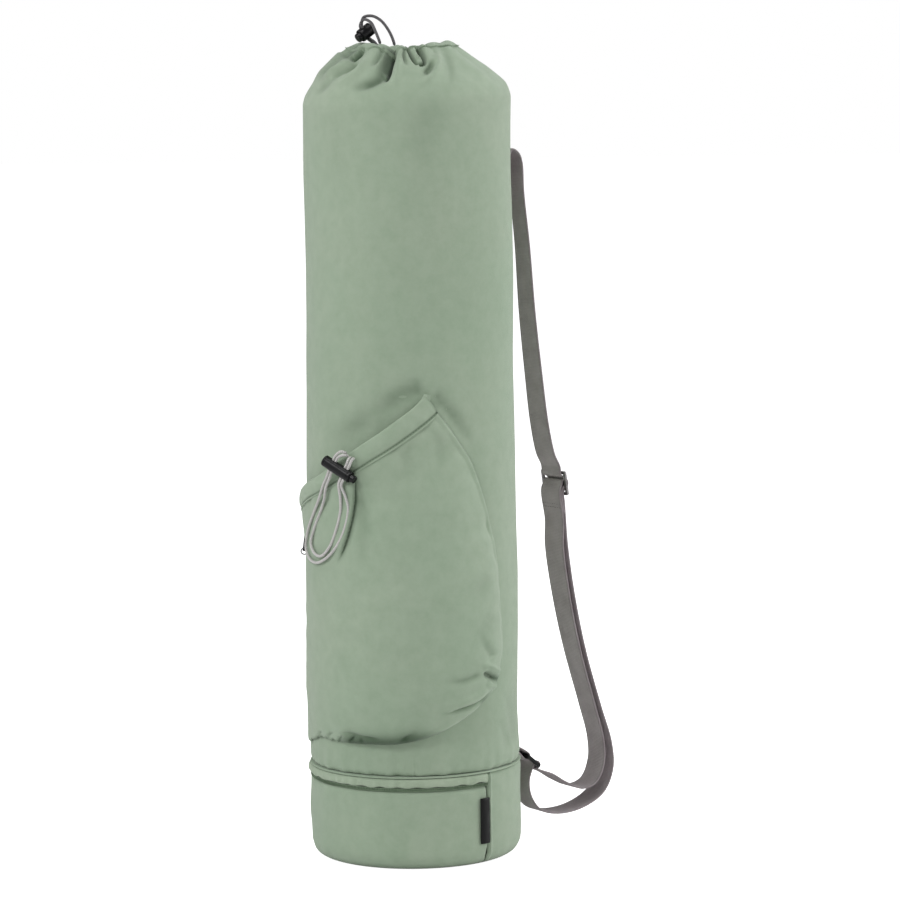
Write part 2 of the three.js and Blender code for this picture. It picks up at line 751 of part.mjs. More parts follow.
// Ring in its own frame: two bars, the first held by the tab, the second by the strap
function atRing(along, off) {
  const lean = THREE.MathUtils.degToRad(RING_LEAN);
  return {
    out: RING_OUT + along * Math.cos(lean) + off * Math.sin(lean),
    height: RING_HEIGHT - along * Math.sin(lean) + off * Math.cos(lean),
  };
}

function roundBar(along, from, to, count) {
  const radius = RING_BAR / 2 + GAP + BAR_SLACK + WEBBING / 2;
  const path = [];
  for (let k = 0; k <= count; k += 1) {
    const a = THREE.MathUtils.degToRad(from + ((to - from) * k) / count);
    path.push(atRing(along + radius * Math.cos(a), radius * Math.sin(a)));
  }
  return path;
}

function shoulderStrap() {
  const path = [
    ...anchorPath(),
    ...scaled(STRAP_UPPER),
    ...WEAVE.map(atSlider),
    ...scaled(STRAP_OUTER),
    ...roundBar(RING_PITCH, -150, -400, 5),
    ...scaled(STRAP_INNER),
    ...SEWN_LOOP.map(atSlider),
  ];
  return webbingStrip(path, 2, WEBBING, WEBBING_WIDTH);
}

// Doubled tab out of the side seam, round the ring's first bar and back
function ringTab() {
  const start = GAP + WEBBING / 2;
  const path = [
    { out: start, height: SEAM_HEIGHT + TAB_START_RISE * WEBBING },
    { out: start + RING_OUT * TAB_UPPER_OUT, height: SEAM_HEIGHT + TAB_UPPER_RISE * WEBBING },
    ...roundBar(0, 100, -100, 5),
    { out: start + RING_OUT * TAB_LOWER_OUT, height: SEAM_HEIGHT - TAB_LOWER_DROP * WEBBING },
    { out: start, height: SEAM_HEIGHT - WEBBING },
  ];
  return webbingStrip(path, 2, WEBBING, WEBBING_WIDTH);
}

function roundedRectangle(shape, width, height, radius) {
  const x = width / 2;
  const y = height / 2;
  shape.moveTo(-x + radius, -y);
  shape.lineTo(x - radius, -y);
  shape.absarc(x - radius, -y + radius, radius, -Math.PI / 2, 0);
  shape.lineTo(x, y - radius);
  shape.absarc(x - radius, y - radius, radius, 0, Math.PI / 2);
  shape.lineTo(-x + radius, y);
  shape.absarc(-x + radius, y - radius, radius, Math.PI / 2, Math.PI);
  shape.lineTo(-x, -y + radius);
  shape.absarc(-x + radius, -y + radius, radius, Math.PI, 1.5 * Math.PI);
  return shape;
}

// Flat frame with slots that lie at the given heights, X across and Y along the strap
function slottedPlate(width, height, thickness, slotWidth, slotHeight, slotCentres) {
  const plate = roundedRectangle(new THREE.Shape(), width, height, FRAME_CORNER);
  for (const centre of slotCentres) {
    const hole = new THREE.Path();
    hole.moveTo(-slotWidth / 2, centre - slotHeight / 2);
    hole.lineTo(-slotWidth / 2, centre + slotHeight / 2);
    hole.lineTo(slotWidth / 2, centre + slotHeight / 2);
    hole.lineTo(slotWidth / 2, centre - slotHeight / 2);
    plate.holes.push(hole);
  }
  const options = { depth: thickness, bevelEnabled: false, curveSegments: 3 };
  return new THREE.ExtrudeGeometry(plate, options).translate(0, 0, -thickness / 2);
}

// Placement of a rigid piece in the strap's sheet: its X lies across the webbing, its Y along it
function inStrap(geometry, place, lean) {
  const turn = strapTurn(place.height);
  const across = new THREE.Vector3(-Math.sin(turn), Math.cos(turn), 0);
  const outward = new THREE.Vector3(Math.cos(turn), Math.sin(turn), 0);
  const a = THREE.MathUtils.degToRad(lean);
  const along = outward.clone().multiplyScalar(-Math.sin(a));
  along.z = Math.cos(a);
  const face = new THREE.Vector3().crossVectors(across, along);
  const matrix = new THREE.Matrix4().makeBasis(across, along, face);
  matrix.setPosition(strapPoint(place.out, place.height, 0));
  return geometry.applyMatrix4(matrix);
}

function strapSlider() {
  const slotWidth = WEBBING_WIDTH + 2 * SLOT_SIDE_GAP;
  const height = 2 * SLIDER_SLOT + 3 * SLIDER_BAR;
  const slots = [-SLOT_PITCH / 2, SLOT_PITCH / 2];
  const width = slotWidth + 2 * SLIDER_SIDE;
  const plate = slottedPlate(width, height, SLIDER_THICKNESS, slotWidth, SLIDER_SLOT, slots);
  return inStrap(plate, { out: SLIDER_OUT, height: SLIDER_HEIGHT }, SLIDER_LEAN);
}

function strapRing() {
  const slotWidth = WEBBING_WIDTH + 2 * SLOT_SIDE_GAP;
  const width = slotWidth + 2 * RING_BAR;
  const slot = RING_PITCH - RING_BAR;
  const plate = slottedPlate(width, RING_PITCH + RING_BAR, RING_BAR, slotWidth, slot, [0]);
  return inStrap(plate, atRing(RING_PITCH / 2, 0), 90 - RING_LEAN);
}

// Key tab sewn in the left side seam, its eyelet near the lower end, and the small ring through it
const KEY_RING_CENTRE = -KEY_LENGTH - KEY_EYELET_WALL / 2 + KEY_LOOP_SLACK;
const KEY_EYELET = KEY_RING_CENTRE + KEY_RING_RADIUS - KEY_RING_WIRE / 3;

function keyTab() {
  const plate = new THREE.BoxGeometry(KEY_WIDTH, KEY_THICKNESS, KEY_LENGTH);
  const reach = 3 * KEY_THICKNESS;
  const hole = new THREE.CylinderGeometry(KEY_EYELET_RADIUS, KEY_EYELET_RADIUS, reach, 10);
  const solid = solidOf(plate.translate(0, -KEY_THICKNESS / 2, -KEY_LENGTH / 2));
  return geometryOf(solid.subtract(solidOf(hole.translate(0, 0, KEY_EYELET))));
}

function keyRing() {
  const ring = new THREE.TorusGeometry(KEY_RING_RADIUS, KEY_RING_WIRE, 5, 12).rotateY(Math.PI / 2);
  return ring.translate(0, -KEY_THICKNESS / 2, KEY_RING_CENTRE);
}

// Cord lock from its sizes. Its own Z runs along the barrel to the plunger, Y through the holes.
// A lock holds its strands in file along Z or side by side along X.
function lockSizes({ radius, travel, stub, alongSlot, acrossSlot, holePitch, holes }) {
  const plungerStart = LOCK_END_WALL + travel + GAP;
  const firstHole = plungerStart + LOCK_END_WALL + alongSlot / 2;
  const centres = Array.from({ length: holes }, (_, k) => firstHole + k * holePitch);
  const length = centres[holes - 1] + alongSlot / 2 + travel + LOCK_END_WALL;
  const bore = radius - LOCK_SIDE_WALL;
  return {
    radius, travel, stub, alongSlot, acrossSlot, plungerStart, centres, length, bore,
    middle: (length + stub) / 2,
  };
}

function slotAcross(width, length, reach, centre) {
  return solidOf(new THREE.BoxGeometry(width, reach, length).translate(0, 0, centre));
}

function lockBarrel(lock) {
  const { radius, length, bore } = lock;
  const profile = [
    [0, 0], [radius - LOCK_CHAMFER, 0], [radius, LOCK_CHAMFER], [radius, length - LOCK_CHAMFER],
    [radius - LOCK_CHAMFER, length], [bore, length], [bore, LOCK_END_WALL], [0, LOCK_END_WALL],
  ];
  let solid = solidOf(turned(profile, LOCK_SIDES));
  for (const centre of lock.centres) {
    solid = solid.subtract(slotAcross(lock.acrossSlot, lock.alongSlot, 4 * radius, centre));
  }
  return geometryOf(solid.translate([0, 0, -lock.middle]));
}

function lockPlunger(lock) {
  const radius = lock.bore - LOCK_FIT;
  const end = lock.length + lock.stub;
  const profile = [
    [0, lock.plungerStart], [radius, lock.plungerStart], [radius, end - LOCK_CHAMFER],
    [radius - LOCK_CHAMFER, end], [0, end],
  ];
  let solid = solidOf(turned(profile, LOCK_SIDES));
  for (const centre of lock.centres) {
    const slotLength = lock.alongSlot + lock.travel;
    const slot = slotAcross(lock.acrossSlot, slotLength, 4 * radius, centre + lock.travel / 2);
    solid = solid.subtract(slot);
  }
  return geometryOf(solid.translate([0, 0, -lock.middle]));
}

// Group whose own Z points along the axis and whose Y points as nearly as it can along the entry
function lockFrame(place, axis, entry) {
  const z = axis.clone().normalize();
  const y = entry.clone().addScaledVector(z, -entry.dot(z)).normalize();
  const x = new THREE.Vector3().crossVectors(y, z);
  const group = new THREE.Group();
  group.applyMatrix4(new THREE.Matrix4().makeBasis(x, y, z).setPosition(place));
  group.updateMatrixWorld(true);
  return group;
}

// Round cord along points in the bag's frame
function cordTube(points, diameter, steps) {
  const section = new THREE.Shape().absarc(0, 0, diameter / 2, 0, 2 * Math.PI, false);
  const path = new THREE.CatmullRomCurve3(points, false, "centripetal");
  const options = { steps, extrudePath: path, curveSegments: 4, bevelEnabled: false };
  return new THREE.ExtrudeGeometry(section, options);
}

const pocketStrand = (POCKET_CORD + STRAND_GAP) / 2;
const pocketLock = lockSizes({
  radius: POCKET_LOCK_RADIUS,
  travel: POCKET_LOCK_TRAVEL,
  stub: POCKET_LOCK_STUB,
  alongSlot: 2 * pocketStrand + POCKET_CORD + 2 * GAP,
  acrossSlot: POCKET_CORD + 2 * GAP,
  holePitch: POCKET_HOLE_PITCH,
  holes: 2,
});

function pocketLockFrame() {
  const azimuth = THREE.MathUtils.degToRad(POCKET_LOCK_AZIMUTH);
  const roll = THREE.MathUtils.degToRad(POCKET_LOCK_ROLL);
  const level = new THREE.Vector3(Math.cos(azimuth), Math.sin(azimuth), 0);
  const axis = level.clone().multiplyScalar(Math.cos(roll));
  axis.z = -Math.sin(roll);
  const entry = level.clone().multiplyScalar(Math.sin(roll));
  entry.z = Math.cos(roll);
  return lockFrame(around(POCKET_LOCK_AZIMUTH, POCKET_LOCK_OUT, POCKET_LOCK_HEIGHT), axis, entry);
}

// Points of the pocket's cords near the lock: along its barrel, up through it and out from the bag
const OUTER_CORD_START = [
  { along: -3.2, up: 13.6, out: -5.4 },
  { along: -3.8, up: 14.8, out: -2.4 },
  { along: -6.2, up: 14.4, out: -0.4 },
];
const OUTER_CORD_END = [
  { along: 6.3, up: 12.4, out: -0.4 },
  { along: 5.8, up: 14.2, out: -2.4 },
  { along: 5.2, up: 13.4, out: -5.3 },
];
const INNER_CORD_START = [
  { along: -0.4, up: 12.6, out: -5.4 },
  { along: -1, up: 13.4, out: -2.6 },
  { along: -3.4, up: 12.4, out: -0.4 },
];
const INNER_CORD_END = [
  { along: 3.3, up: 11.8, out: -0.4 },
  { along: 2.9, up: 13.4, out: -2.4 },
  { along: 2.4, up: 12.6, out: -5.4 },
];

// Hanging loops, from the first hole round to the second
const OUTER_LOOP = [
  { azimuth: -43.5, radius: 107, height: 326 },
  { azimuth: -47.4, radius: 104.8, height: 315 },
  { azimuth: -53.4, radius: 101.8, height: 303 },
  { azimuth: -63, radius: 98.6, height: 284.8 },
  { azimuth: -67.2, radius: 97.8, height: 270 },
  { azimuth: -61, radius: 99.4, height: 261.5 },
  { azimuth: -51, radius: 101.8, height: 260 },
  { azimuth: -39.6, radius: 104.3, height: 271 },
  { azimuth: -33, radius: 105, height: 287.4 },
  { azimuth: -29.8, radius: 105.2, height: 308 },
  { azimuth: -30.4, radius: 107.6, height: 319 },
];
const INNER_LOOP = [
  { azimuth: -41.4, radius: 107.6, height: 325 },
  { azimuth: -43.8, radius: 105, height: 315 },
  { azimuth: -48, radius: 102.5, height: 304 },
  { azimuth: -55, radius: 100.5, height: 287.5 },
  { azimuth: -58.6, radius: 99.9, height: 274.5 },
  { azimuth: -54, radius: 101.2, height: 267 },
  { azimuth: -47.4, radius: 102.9, height: 266.5 },
  { azimuth: -41, radius: 104, height: 276 },
  { azimuth: -36.8, radius: 104.5, height: 291 },
  { azimuth: -34.2, radius: 105, height: 306 },
  { azimuth: -33.2, radius: 107.4, height: 317 },
];

const pocketFrame = pocketLockFrame();

// Heights of the points through a lock, in its radii, and how far a strand bows in below it
const LOCK_PASS = [1.5, 1, 0, -1, -2];
const LOCK_BOW = 0.12;

function pocketCord(start, loop, end, side) {
  const local = ({ along, up, out }) => pocketFrame.localToWorld(new THREE.Vector3(-out, up, along));
  const through = (hole, offset) =>
    LOCK_PASS.map((level) => ({
      along: pocketLock.centres[hole] - pocketLock.middle + offset,
      up: level * POCKET_LOCK_RADIUS * (1 + LOCK_BOW),
      out: -LOCK_BOW * Math.max(0, Math.abs(level) - 1) * POCKET_LOCK_RADIUS,
    }));
  const points = [
    ...[...start, ...through(0, -side)].map(local),
    ...loop.map(({ azimuth, radius, height }) => around(azimuth, radius, height)),
    ...[...through(1, side).reverse(), ...end].map(local),
  ];
  return cordTube(points, POCKET_CORD, 40);
}

const mouthStrand = (MOUTH_CORD + STRAND_GAP) / 2;
const mouthLock = lockSizes({
  radius: MOUTH_LOCK_RADIUS,
  travel: MOUTH_LOCK_TRAVEL,
  stub: MOUTH_LOCK_STUB,
  alongSlot: MOUTH_CORD + 2 * GAP,
  acrossSlot: 2 * mouthStrand + MOUTH_CORD + 2 * GAP,
  holePitch: 0,
  holes: 1,
});
const mouthFrame = lockFrame(MOUTH_LOCK_PLACE, MOUTH_LOCK_AXIS, MOUTH_LOCK_ENTRY);

// Mouth cord: out of the casing, over to the lock, down into the mouth as a short loop and back
const MOUTH_CORD_START = [
  { x: -21, y: -44.6, z: 692.8 },
  { x: -22.2, y: -46, z: 696.6 },
  { x: -24.8, y: -42, z: 703 },
  { x: -29, y: -30, z: 711 },
  { x: -35.5, y: -18, z: 713.4 },
];
const MOUTH_CORD_TAIL = [
  { x: -28.4, y: -7, z: 694.6 },
  { x: -24.6, y: -5, z: 689.6 },
  { x: -22.4, y: -3.4, z: 681 },
  { x: -21, y: -4.4, z: 674 },
  { x: -20.2, y: -9.2, z: 670.8 },
  { x: -20.2, y: -13.8, z: 674.6 },
  { x: -21.4, y: -13.4, z: 682 },
  { x: -23.4, y: -12, z: 690 },
  { x: -26.9, y: -11.6, z: 695 },
];
const MOUTH_CORD_END = [
  { x: -35.6, y: -17, z: 715 },
  { x: -28, y: -24, z: 716.4 },
  { x: -20, y: -32, z: 712 },
  { x: -13.4, y: -39, z: 703 },
  { x: -10, y: -42.6, z: 695 },
  { x: -9.2, y: -42, z: 691.4 },
];

function mouthCord() {
  const world = ({ x, y, z }) => new THREE.Vector3(x, y, z);
  const reach = MOUTH_LOCK_RADIUS * (1 + LOCK_BOW);
  const along = mouthLock.centres[0] - mouthLock.middle;
  const through = (side) =>
    [1, 0, -1].map((level) =>
      mouthFrame.localToWorld(new THREE.Vector3(side * mouthStrand, level * reach, along)),
    );
  const points = [
    ...MOUTH_CORD_START.map(world),
    ...through(-1),
    ...MOUTH_CORD_TAIL.map(world),
    ...through(1).reverse(),
    ...MOUTH_CORD_END.map(world),
  ];
  return cordTube(points, MOUTH_CORD, 44);
}

addPiece("main_sleeve", mainSleeve(), sage);
addPiece("mouth_casing", mouthCasing(), sage);
addPiece("divider_panel", dividerPanel(), sage);
addPiece("base_front_panel", frontPanel(), sage);
addPiece("base_back_panel", backPanel(), sage);
addPiece("base_panel", disc(BASE_RADIUS - EDGE_RADIUS - GAP, 0, CLOTH), sage);
addPiece("zip_flap", zipFlap(), sage);
addPiece("zip_tape", zipTape(), sage);
addPiece("side_label", seamLabel(), black);
addPiece("bottle_pocket", pocketPiece(PANEL_ROWS, CLOTH), sage);
addPiece("pocket_hem", pocketPiece(HEM_ROWS, HEM_THICKNESS), sage);
addPiece("shoulder_strap", shoulderStrap(), webbing);
addPiece("strap_slider", strapSlider(), steel);
addPiece("strap_ring", strapRing(), black);
addPiece("ring_tab", ringTab(), webbing);

// Group on the tube's face whose own -Y points away from the bag, its lower end swung out by lean
function onTube(azimuth, clearance, height, lean) {
  const group = new THREE.Group();
  group.position.copy(around(azimuth, bodyRadius(height) + clearance, height));
  group.rotation.set(-lean, 0, THREE.MathUtils.degToRad(azimuth), "ZYX");
  bag.add(group);
  return group;
}

const zipFrame = onTube(ZIP_SLIDER_AZIMUTH, ZIP_SLIDER_SEAT, (ZIP_BOTTOM + FLAP_BOTTOM) / 2, 0);
addPiece("zip_slider", zipSlider(), black, zipFrame);

const keyRingReach = KEY_RING_RADIUS + KEY_RING_WIRE - KEY_THICKNESS / 2;
const keyLean = Math.atan(keyRingReach / (KEY_LENGTH - KEY_RING_RADIUS));
const keyFrame = onTube(KEY_AZIMUTH, GAP, KEY_TOP, keyLean);
addPiece("key_tab", keyTab(), black, keyFrame);
addPiece("key_ring", keyRing(), steel, keyFrame);

addPiece("pocket_lock_barrel", lockBarrel(pocketLock), black, pocketFrame);
addPiece("pocket_lock_plunger", lockPlunger(pocketLock), black, pocketFrame);
bag.add(pocketFrame);

const outerCord = pocketCord(OUTER_CORD_START, OUTER_LOOP, OUTER_CORD_END, pocketStrand);
const innerCord = pocketCord(INNER_CORD_START, INNER_LOOP, INNER_CORD_END, -pocketStrand);
addPiece("pocket_cord_outer", outerCord, paleCord);
addPiece("pocket_cord_inner", innerCord, paleCord);

addPiece("mouth_lock_barrel", lockBarrel(mouthLock), black, mouthFrame);
addPiece("mouth_lock_plunger", lockPlunger(mouthLock), black, mouthFrame);
bag.add(mouthFrame);
addPiece("mouth_cord", mouthCord(), darkCord);

export default bag;
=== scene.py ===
import math

import bmesh
import bpy
import numpy as np
from mathutils import Matrix, Vector


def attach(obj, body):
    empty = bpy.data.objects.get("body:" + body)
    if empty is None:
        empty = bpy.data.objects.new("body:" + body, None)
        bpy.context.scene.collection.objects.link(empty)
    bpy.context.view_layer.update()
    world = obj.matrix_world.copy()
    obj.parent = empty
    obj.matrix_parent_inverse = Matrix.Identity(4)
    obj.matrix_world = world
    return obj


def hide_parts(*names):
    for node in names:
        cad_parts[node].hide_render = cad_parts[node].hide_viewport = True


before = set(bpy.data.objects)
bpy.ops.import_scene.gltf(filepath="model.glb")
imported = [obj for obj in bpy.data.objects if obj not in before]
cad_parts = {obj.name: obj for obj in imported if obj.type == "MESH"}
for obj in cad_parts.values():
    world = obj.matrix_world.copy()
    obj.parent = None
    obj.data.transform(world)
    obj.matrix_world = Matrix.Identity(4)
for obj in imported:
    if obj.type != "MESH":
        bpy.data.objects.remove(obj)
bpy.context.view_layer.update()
mm = 0.001  # shapes are worked out in millimetres and meshes are made in metres
scene = bpy.context.scene


# Camera, floor and light

view = {
    "place": (0.033, -3.2, 0.690),
    "target": (0.033, 0.0, 0.347),
    "roll": 0.69,
    "lens": 150.49,
    "sensor": 36.0,
}


def makeCamera():
    data = bpy.data.cameras.new("camera")
    data.lens = view["lens"]
    data.sensor_width = view["sensor"]
    data.clip_start = 0.05
    data.clip_end = 60
    camera = bpy.data.objects.new("camera", data)
    place = Vector(view["place"])
    forward = (Vector(view["target"]) - place).normalized()
    right = forward.cross(Vector((0, 0, 1))).normalized()
    up = right.cross(forward)
    roll = math.radians(view["roll"])
    leanRight = right * math.cos(roll) - up * math.sin(roll)
    leanUp = right * math.sin(roll) + up * math.cos(roll)
    axes = Matrix((leanRight, leanUp, -forward)).transposed().to_4x4()
    axes.translation = place
    camera.matrix_world = axes
    scene.collection.objects.link(camera)
    scene.camera = camera


studio = {
    "floorSize": 40.0,
    "floorColour": (0.9, 0.9, 0.9, 1),
    "floorGlow": 1.0,
    "worldColour": (1.0, 1.0, 1.0, 1),
    "worldSeen": 1.0,
    "worldLight": 0.34,
    # name, place, aim, size, watts
    "lamps": [
        ("keyLamp", (-1.6, -2.2, 2.6), (0, 0, 0.4), 0.7, 32),
        ("leftLamp", (-2.7, -0.5, 1.2), (0, 0, 0.35), 1.2, 17),
        ("rightLamp", (2.7, -0.5, 1.2), (0, 0, 0.35), 1.2, 23),
        ("backLamp", (2.0, 1.0, 1.5), (0, 0, 0.35), 1.2, 18),
        ("topLamp", (0, -0.8, 3.0), (0, 0, 0.4), 1.0, 16),
    ],
}


def makeStudio():
    for name, place, aim, size, watts in studio["lamps"]:
        data = bpy.data.lights.new(name, "AREA")
        data.size = size
        data.energy = watts
        lamp = bpy.data.objects.new(name, data)
        lamp.location = place
        toward = Vector(aim) - Vector(place)
        lamp.rotation_euler = toward.to_track_quat("-Z", "Y").to_euler()
        scene.collection.objects.link(lamp)
    world = bpy.data.worlds.new("studio")
    world.use_nodes = True
    tree = world.node_tree
    sky = tree.nodes["Background"]
    sky.inputs["Color"].default_value = studio["worldColour"]
    # The backdrop is seen white, and it lights the bag less than that
    ray = tree.nodes.new("ShaderNodeLightPath")
    strength = tree.nodes.new("ShaderNodeMapRange")
    strength.inputs["To Min"].default_value = studio["worldLight"]
    strength.inputs["To Max"].default_value = studio["worldSeen"]
    tree.links.new(ray.outputs["Is Camera Ray"], strength.inputs["Value"])
    tree.links.new(strength.outputs["Result"], sky.inputs["Strength"])
    scene.world = world
    scene.view_settings.view_transform = "Standard"
    half = studio["floorSize"] / 2
    corners = [(-half, -half, 0), (half, -half, 0), (half, half, 0), (-half, half, 0)]
    mesh = bpy.data.meshes.new("floor")
    mesh.from_pydata(corners, [], [(0, 1, 2, 3)])
    floor = bpy.data.objects.new("floor", mesh)
    scene.collection.objects.link(floor)
    material = bpy.data.materials.new("studioFloor")
    material.use_nodes = True
    shader = material.node_tree.nodes["Principled BSDF"]
    shader.inputs["Base Color"].default_value = studio["floorColour"]
    shader.inputs["Emission Color"].default_value = studio["floorColour"]
    ray = material.node_tree.nodes.new("ShaderNodeLightPath")
    glow = material.node_tree.nodes.new("ShaderNodeMath")
    glow.operation = "MULTIPLY"
    glow.inputs[1].default_value = studio["floorGlow"]
    material.node_tree.links.new(ray.outputs["Is Camera Ray"], glow.inputs[0])
    material.node_tree.links.new(glow.outputs["Value"], shader.inputs["Emission Strength"])
    shader.inputs["Specular IOR Level"].default_value = 0.0
    shader.inputs["Roughness"].default_value = 1.0
    mesh.materials.append(material)


makeCamera()
makeStudio()
print("stage: camera, lamps and floor")


# Shader maths: a Wire is one output socket, and an expression on wires adds its Math nodes


class Wire:
    def __init__(self, shader, socket):
        self.shader = shader
        self.socket = socket

    def maths(self, operation, *values):
        return self.shader.node("ShaderNodeMath", {"operation": operation}, list(values))

    def __add__(self, other):
        return self.maths("ADD", self, other)

    def __radd__(self, other):
        return self.maths("ADD", other, self)

    def __sub__(self, other):
        return self.maths("SUBTRACT", self, other)

    def __rsub__(self, other):
        return self.maths("SUBTRACT", other, self)

    def __mul__(self, other):
        return self.maths("MULTIPLY", self, other)

    def __rmul__(self, other):
        return self.maths("MULTIPLY", other, self)

    def __truediv__(self, other):
        return self.maths("DIVIDE", self, other)

    def __pow__(self, other):
        return self.maths("POWER", self, other)

    def sine(self):
        return self.maths("SINE", self)

    def absolute(self):
        return self.maths("ABSOLUTE", self)

    def above(self, limit):
        return self.maths("GREATER_THAN", self, limit)


class Shader:
    def __init__(self, name):
        self.material = bpy.data.materials.new(name)
        self.material.use_nodes = True
        self.tree = self.material.node_tree
        self.main = self.tree.nodes["Principled BSDF"]

    # Any node: its type, its settings (a ramp's stops too), and the values or wires of its sockets
    def node(self, kind, settings, values, out=0):
        made = self.tree.nodes.new(kind)
        for key, value in settings.items():
            if key == "stops":
                ramp = made.color_ramp.elements
                while len(ramp) < len(value):
                    ramp.new(0.5)
                for stop, (place, colour) in zip(ramp, value):
                    stop.position = place
                    stop.color = colour
            else:
                setattr(made, key, value)
        pairs = values.items() if isinstance(values, dict) else enumerate(values)
        for key, value in pairs:
            self.join(made.inputs[key], value)
        return Wire(self, made.outputs[out])

    def join(self, socket, value):
        if isinstance(value, Wire):
            self.tree.links.new(value.socket, socket)
        else:
            socket.default_value = value

    def set(self, **values):
        for key, value in values.items():
            self.join(self.main.inputs[key.replace("_", " ")], value)

    def coordinates(self, kind):
        return self.node("ShaderNodeTexCoord", {}, {}, kind)

    def split(self, vector):
        made = self.node("ShaderNodeSeparateXYZ", {}, [vector])
        return [Wire(self, made.socket.node.outputs[k]) for k in range(3)]

    def noise(self, where, scale, detail=3.0, roughness=0.5):
        values = {"Vector": where, "Scale": scale, "Detail": detail, "Roughness": roughness}
        return self.node("ShaderNodeTexNoise", {}, values, "Fac")

    def blend(self, share, first, second):
        made = self.node("ShaderNodeMix", {"data_type": "RGBA"}, {}, 2)
        node = made.socket.node
        self.join(node.inputs[0], share)
        self.join(node.inputs[6], first)
        self.join(node.inputs[7], second)
        return made

    def spread(self, value, low, high, toLow, toHigh):
        return self.node("ShaderNodeMapRange", {}, [value, low, high, toLow, toHigh])

    def bump(self, height, distance, strength=1.0):
        values = {"Height": height, "Distance": distance, "Strength": strength}
        self.set(Normal=self.node("ShaderNodeBump", {}, values))


def tone(red, green, blue):
    # A colour picked on screen, from 0 to 255, as the light value that a shader takes
    def linear(value):
        share = value / 255
        return share / 12.92 if share <= 0.04045 else ((share + 0.055) / 1.055) ** 2.4

    return (linear(red), linear(green), linear(blue), 1.0)


# Plain woven cloth with fine threads, a soft mottle and a slight sheen, for the tube and the pocket, with painted
# shade in its creases
def clothMaterial(name, main, deep, light, shade, threads=0.55, sheen=0.25):
    shader = Shader(name)
    across, along, _ = shader.split(shader.coordinates("UV"))
    turn = 2 * math.pi / (threads * mm)
    warp = (across * turn).sine()
    weft = (along * turn).sine()
    weave = warp * weft * 0.5 + 0.5
    where = shader.coordinates("Object")
    patches = shader.noise(where, 9.0, 3.0, 0.55)
    slubs = shader.noise(where, 420.0, 2.0, 0.6)
    fine = shader.noise(where, 95.0, 4.0, 0.6)
    mottle = shader.spread(patches, 0.3, 0.7, 0.0, 1.0)
    colour = shader.blend(mottle, main, light)
    colour = shader.blend(shader.spread(fine, 0.35, 0.7, 0.0, 0.35), colour, deep)
    colour = shader.blend(weave * 0.12, colour, deep)
    # Painted shade: the colour is darkened toward the shade tone where the mesh's crease attribute is high
    crease = shader.node("ShaderNodeAttribute", {"attribute_name": "crease"}, {}, "Fac")
    colour = shader.blend(crease, colour, shade)
    shader.set(Base_Color=colour, Roughness=shader.spread(slubs, 0.2, 0.8, 0.78, 0.92))
    shader.set(Sheen_Weight=sheen, Sheen_Roughness=0.5)
    shader.set(Specular_IOR_Level=0.25)
    shader.bump(weave * 0.55 + slubs * 0.45 + fine * 0.8, 0.00016, 0.7)
    return shader.material


# Flat webbing: ribs along its length, crossed by short threads, with a tighter edge on each side
def webbingMaterial(name, main, deep, light, width=25.0):
    shader = Shader(name)
    across, along, _ = shader.split(shader.coordinates("UV"))
    ribs = (across * (2 * math.pi / (1.15 * mm))).sine()
    picks = (along * (2 * math.pi / (1.3 * mm)) + ribs * 1.2).sine()
    weave = ribs * 0.35 + picks * 0.4 + 0.5
    edge = (across / (width * mm / 2)).absolute()
    bound = shader.spread(edge, 0.8, 0.93, 0.0, 1.0)
    where = shader.coordinates("Object")
    wear = shader.noise(where, 60.0, 4.0, 0.6)
    colour = shader.blend(shader.spread(wear, 0.3, 0.75, 0.0, 1.0), main, light)
    colour = shader.blend(weave * 0.3, colour, deep)
    colour = shader.blend(bound * 0.35, colour, deep)
    shader.set(Base_Color=colour, Roughness=0.82)
    shader.set(Sheen_Weight=0.2, Sheen_Roughness=0.4, Specular_IOR_Level=0.3)
    shader.bump(weave + bound * 0.4, 0.0003, 0.8)
    return shader.material


# Braided cord: strands that cross round it both ways. UV holds turns round and diameters along.
def cordMaterial(name, main, deep):
    shader = Shader(name)
    around, along, _ = shader.split(shader.coordinates("UV"))
    rightHand = (around * (8 * 2 * math.pi) + along * 5.2).sine()
    leftHand = (around * (8 * 2 * math.pi) - along * 5.2).sine()
    braid = rightHand * leftHand * 0.5 + 0.5
    fuzz = shader.noise(shader.coordinates("Object"), 900.0, 2.0, 0.6)
    colour = shader.blend(braid, deep, main)
    shader.set(Base_Color=colour, Roughness=shader.spread(fuzz, 0.2, 0.8, 0.7, 0.9))
    shader.set(Sheen_Weight=0.2, Sheen_Roughness=0.4)
    shader.bump(braid + fuzz * 0.3, 0.00035, 0.9)
    return shader.material


# Moulded plastic with a faint grain
def plasticMaterial(name, main, roughness, grain=1400.0):
    shader = Shader(name)
    where = shader.coordinates("Object")
    pits = shader.noise(where, grain, 2.0, 0.5)
    smears = shader.noise(where, 120.0, 3.0, 0.6)
    worn = tuple(min(1.0, value * 1.6 + 0.004) for value in main[:3]) + (1.0,)
    shader.set(Base_Color=shader.blend(shader.spread(smears, 0.45, 0.75, 0, 0.5), main, worn))
    shader.set(Roughness=shader.spread(smears, 0.3, 0.7, roughness - 0.06, roughness + 0.1))
    shader.set(Specular_IOR_Level=0.3)
    shader.bump(pits, 0.00005, 0.5)
    return shader.material


# Cast metal with a worn plating
def metalMaterial(name, main, worn):
    shader = Shader(name)
    where = shader.coordinates("Object")
    smears = shader.noise(where, 180.0, 4.0, 0.6)
    pits = shader.noise(where, 1500.0, 2.0, 0.5)
    shader.set(Base_Color=shader.blend(shader.spread(smears, 0.4, 0.7, 0, 1), main, worn))
    shader.set(Metallic=1.0, Roughness=shader.spread(smears, 0.3, 0.7, 0.24, 0.42))
    shader.bump(pits, 0.00004, 0.4)
    return shader.material


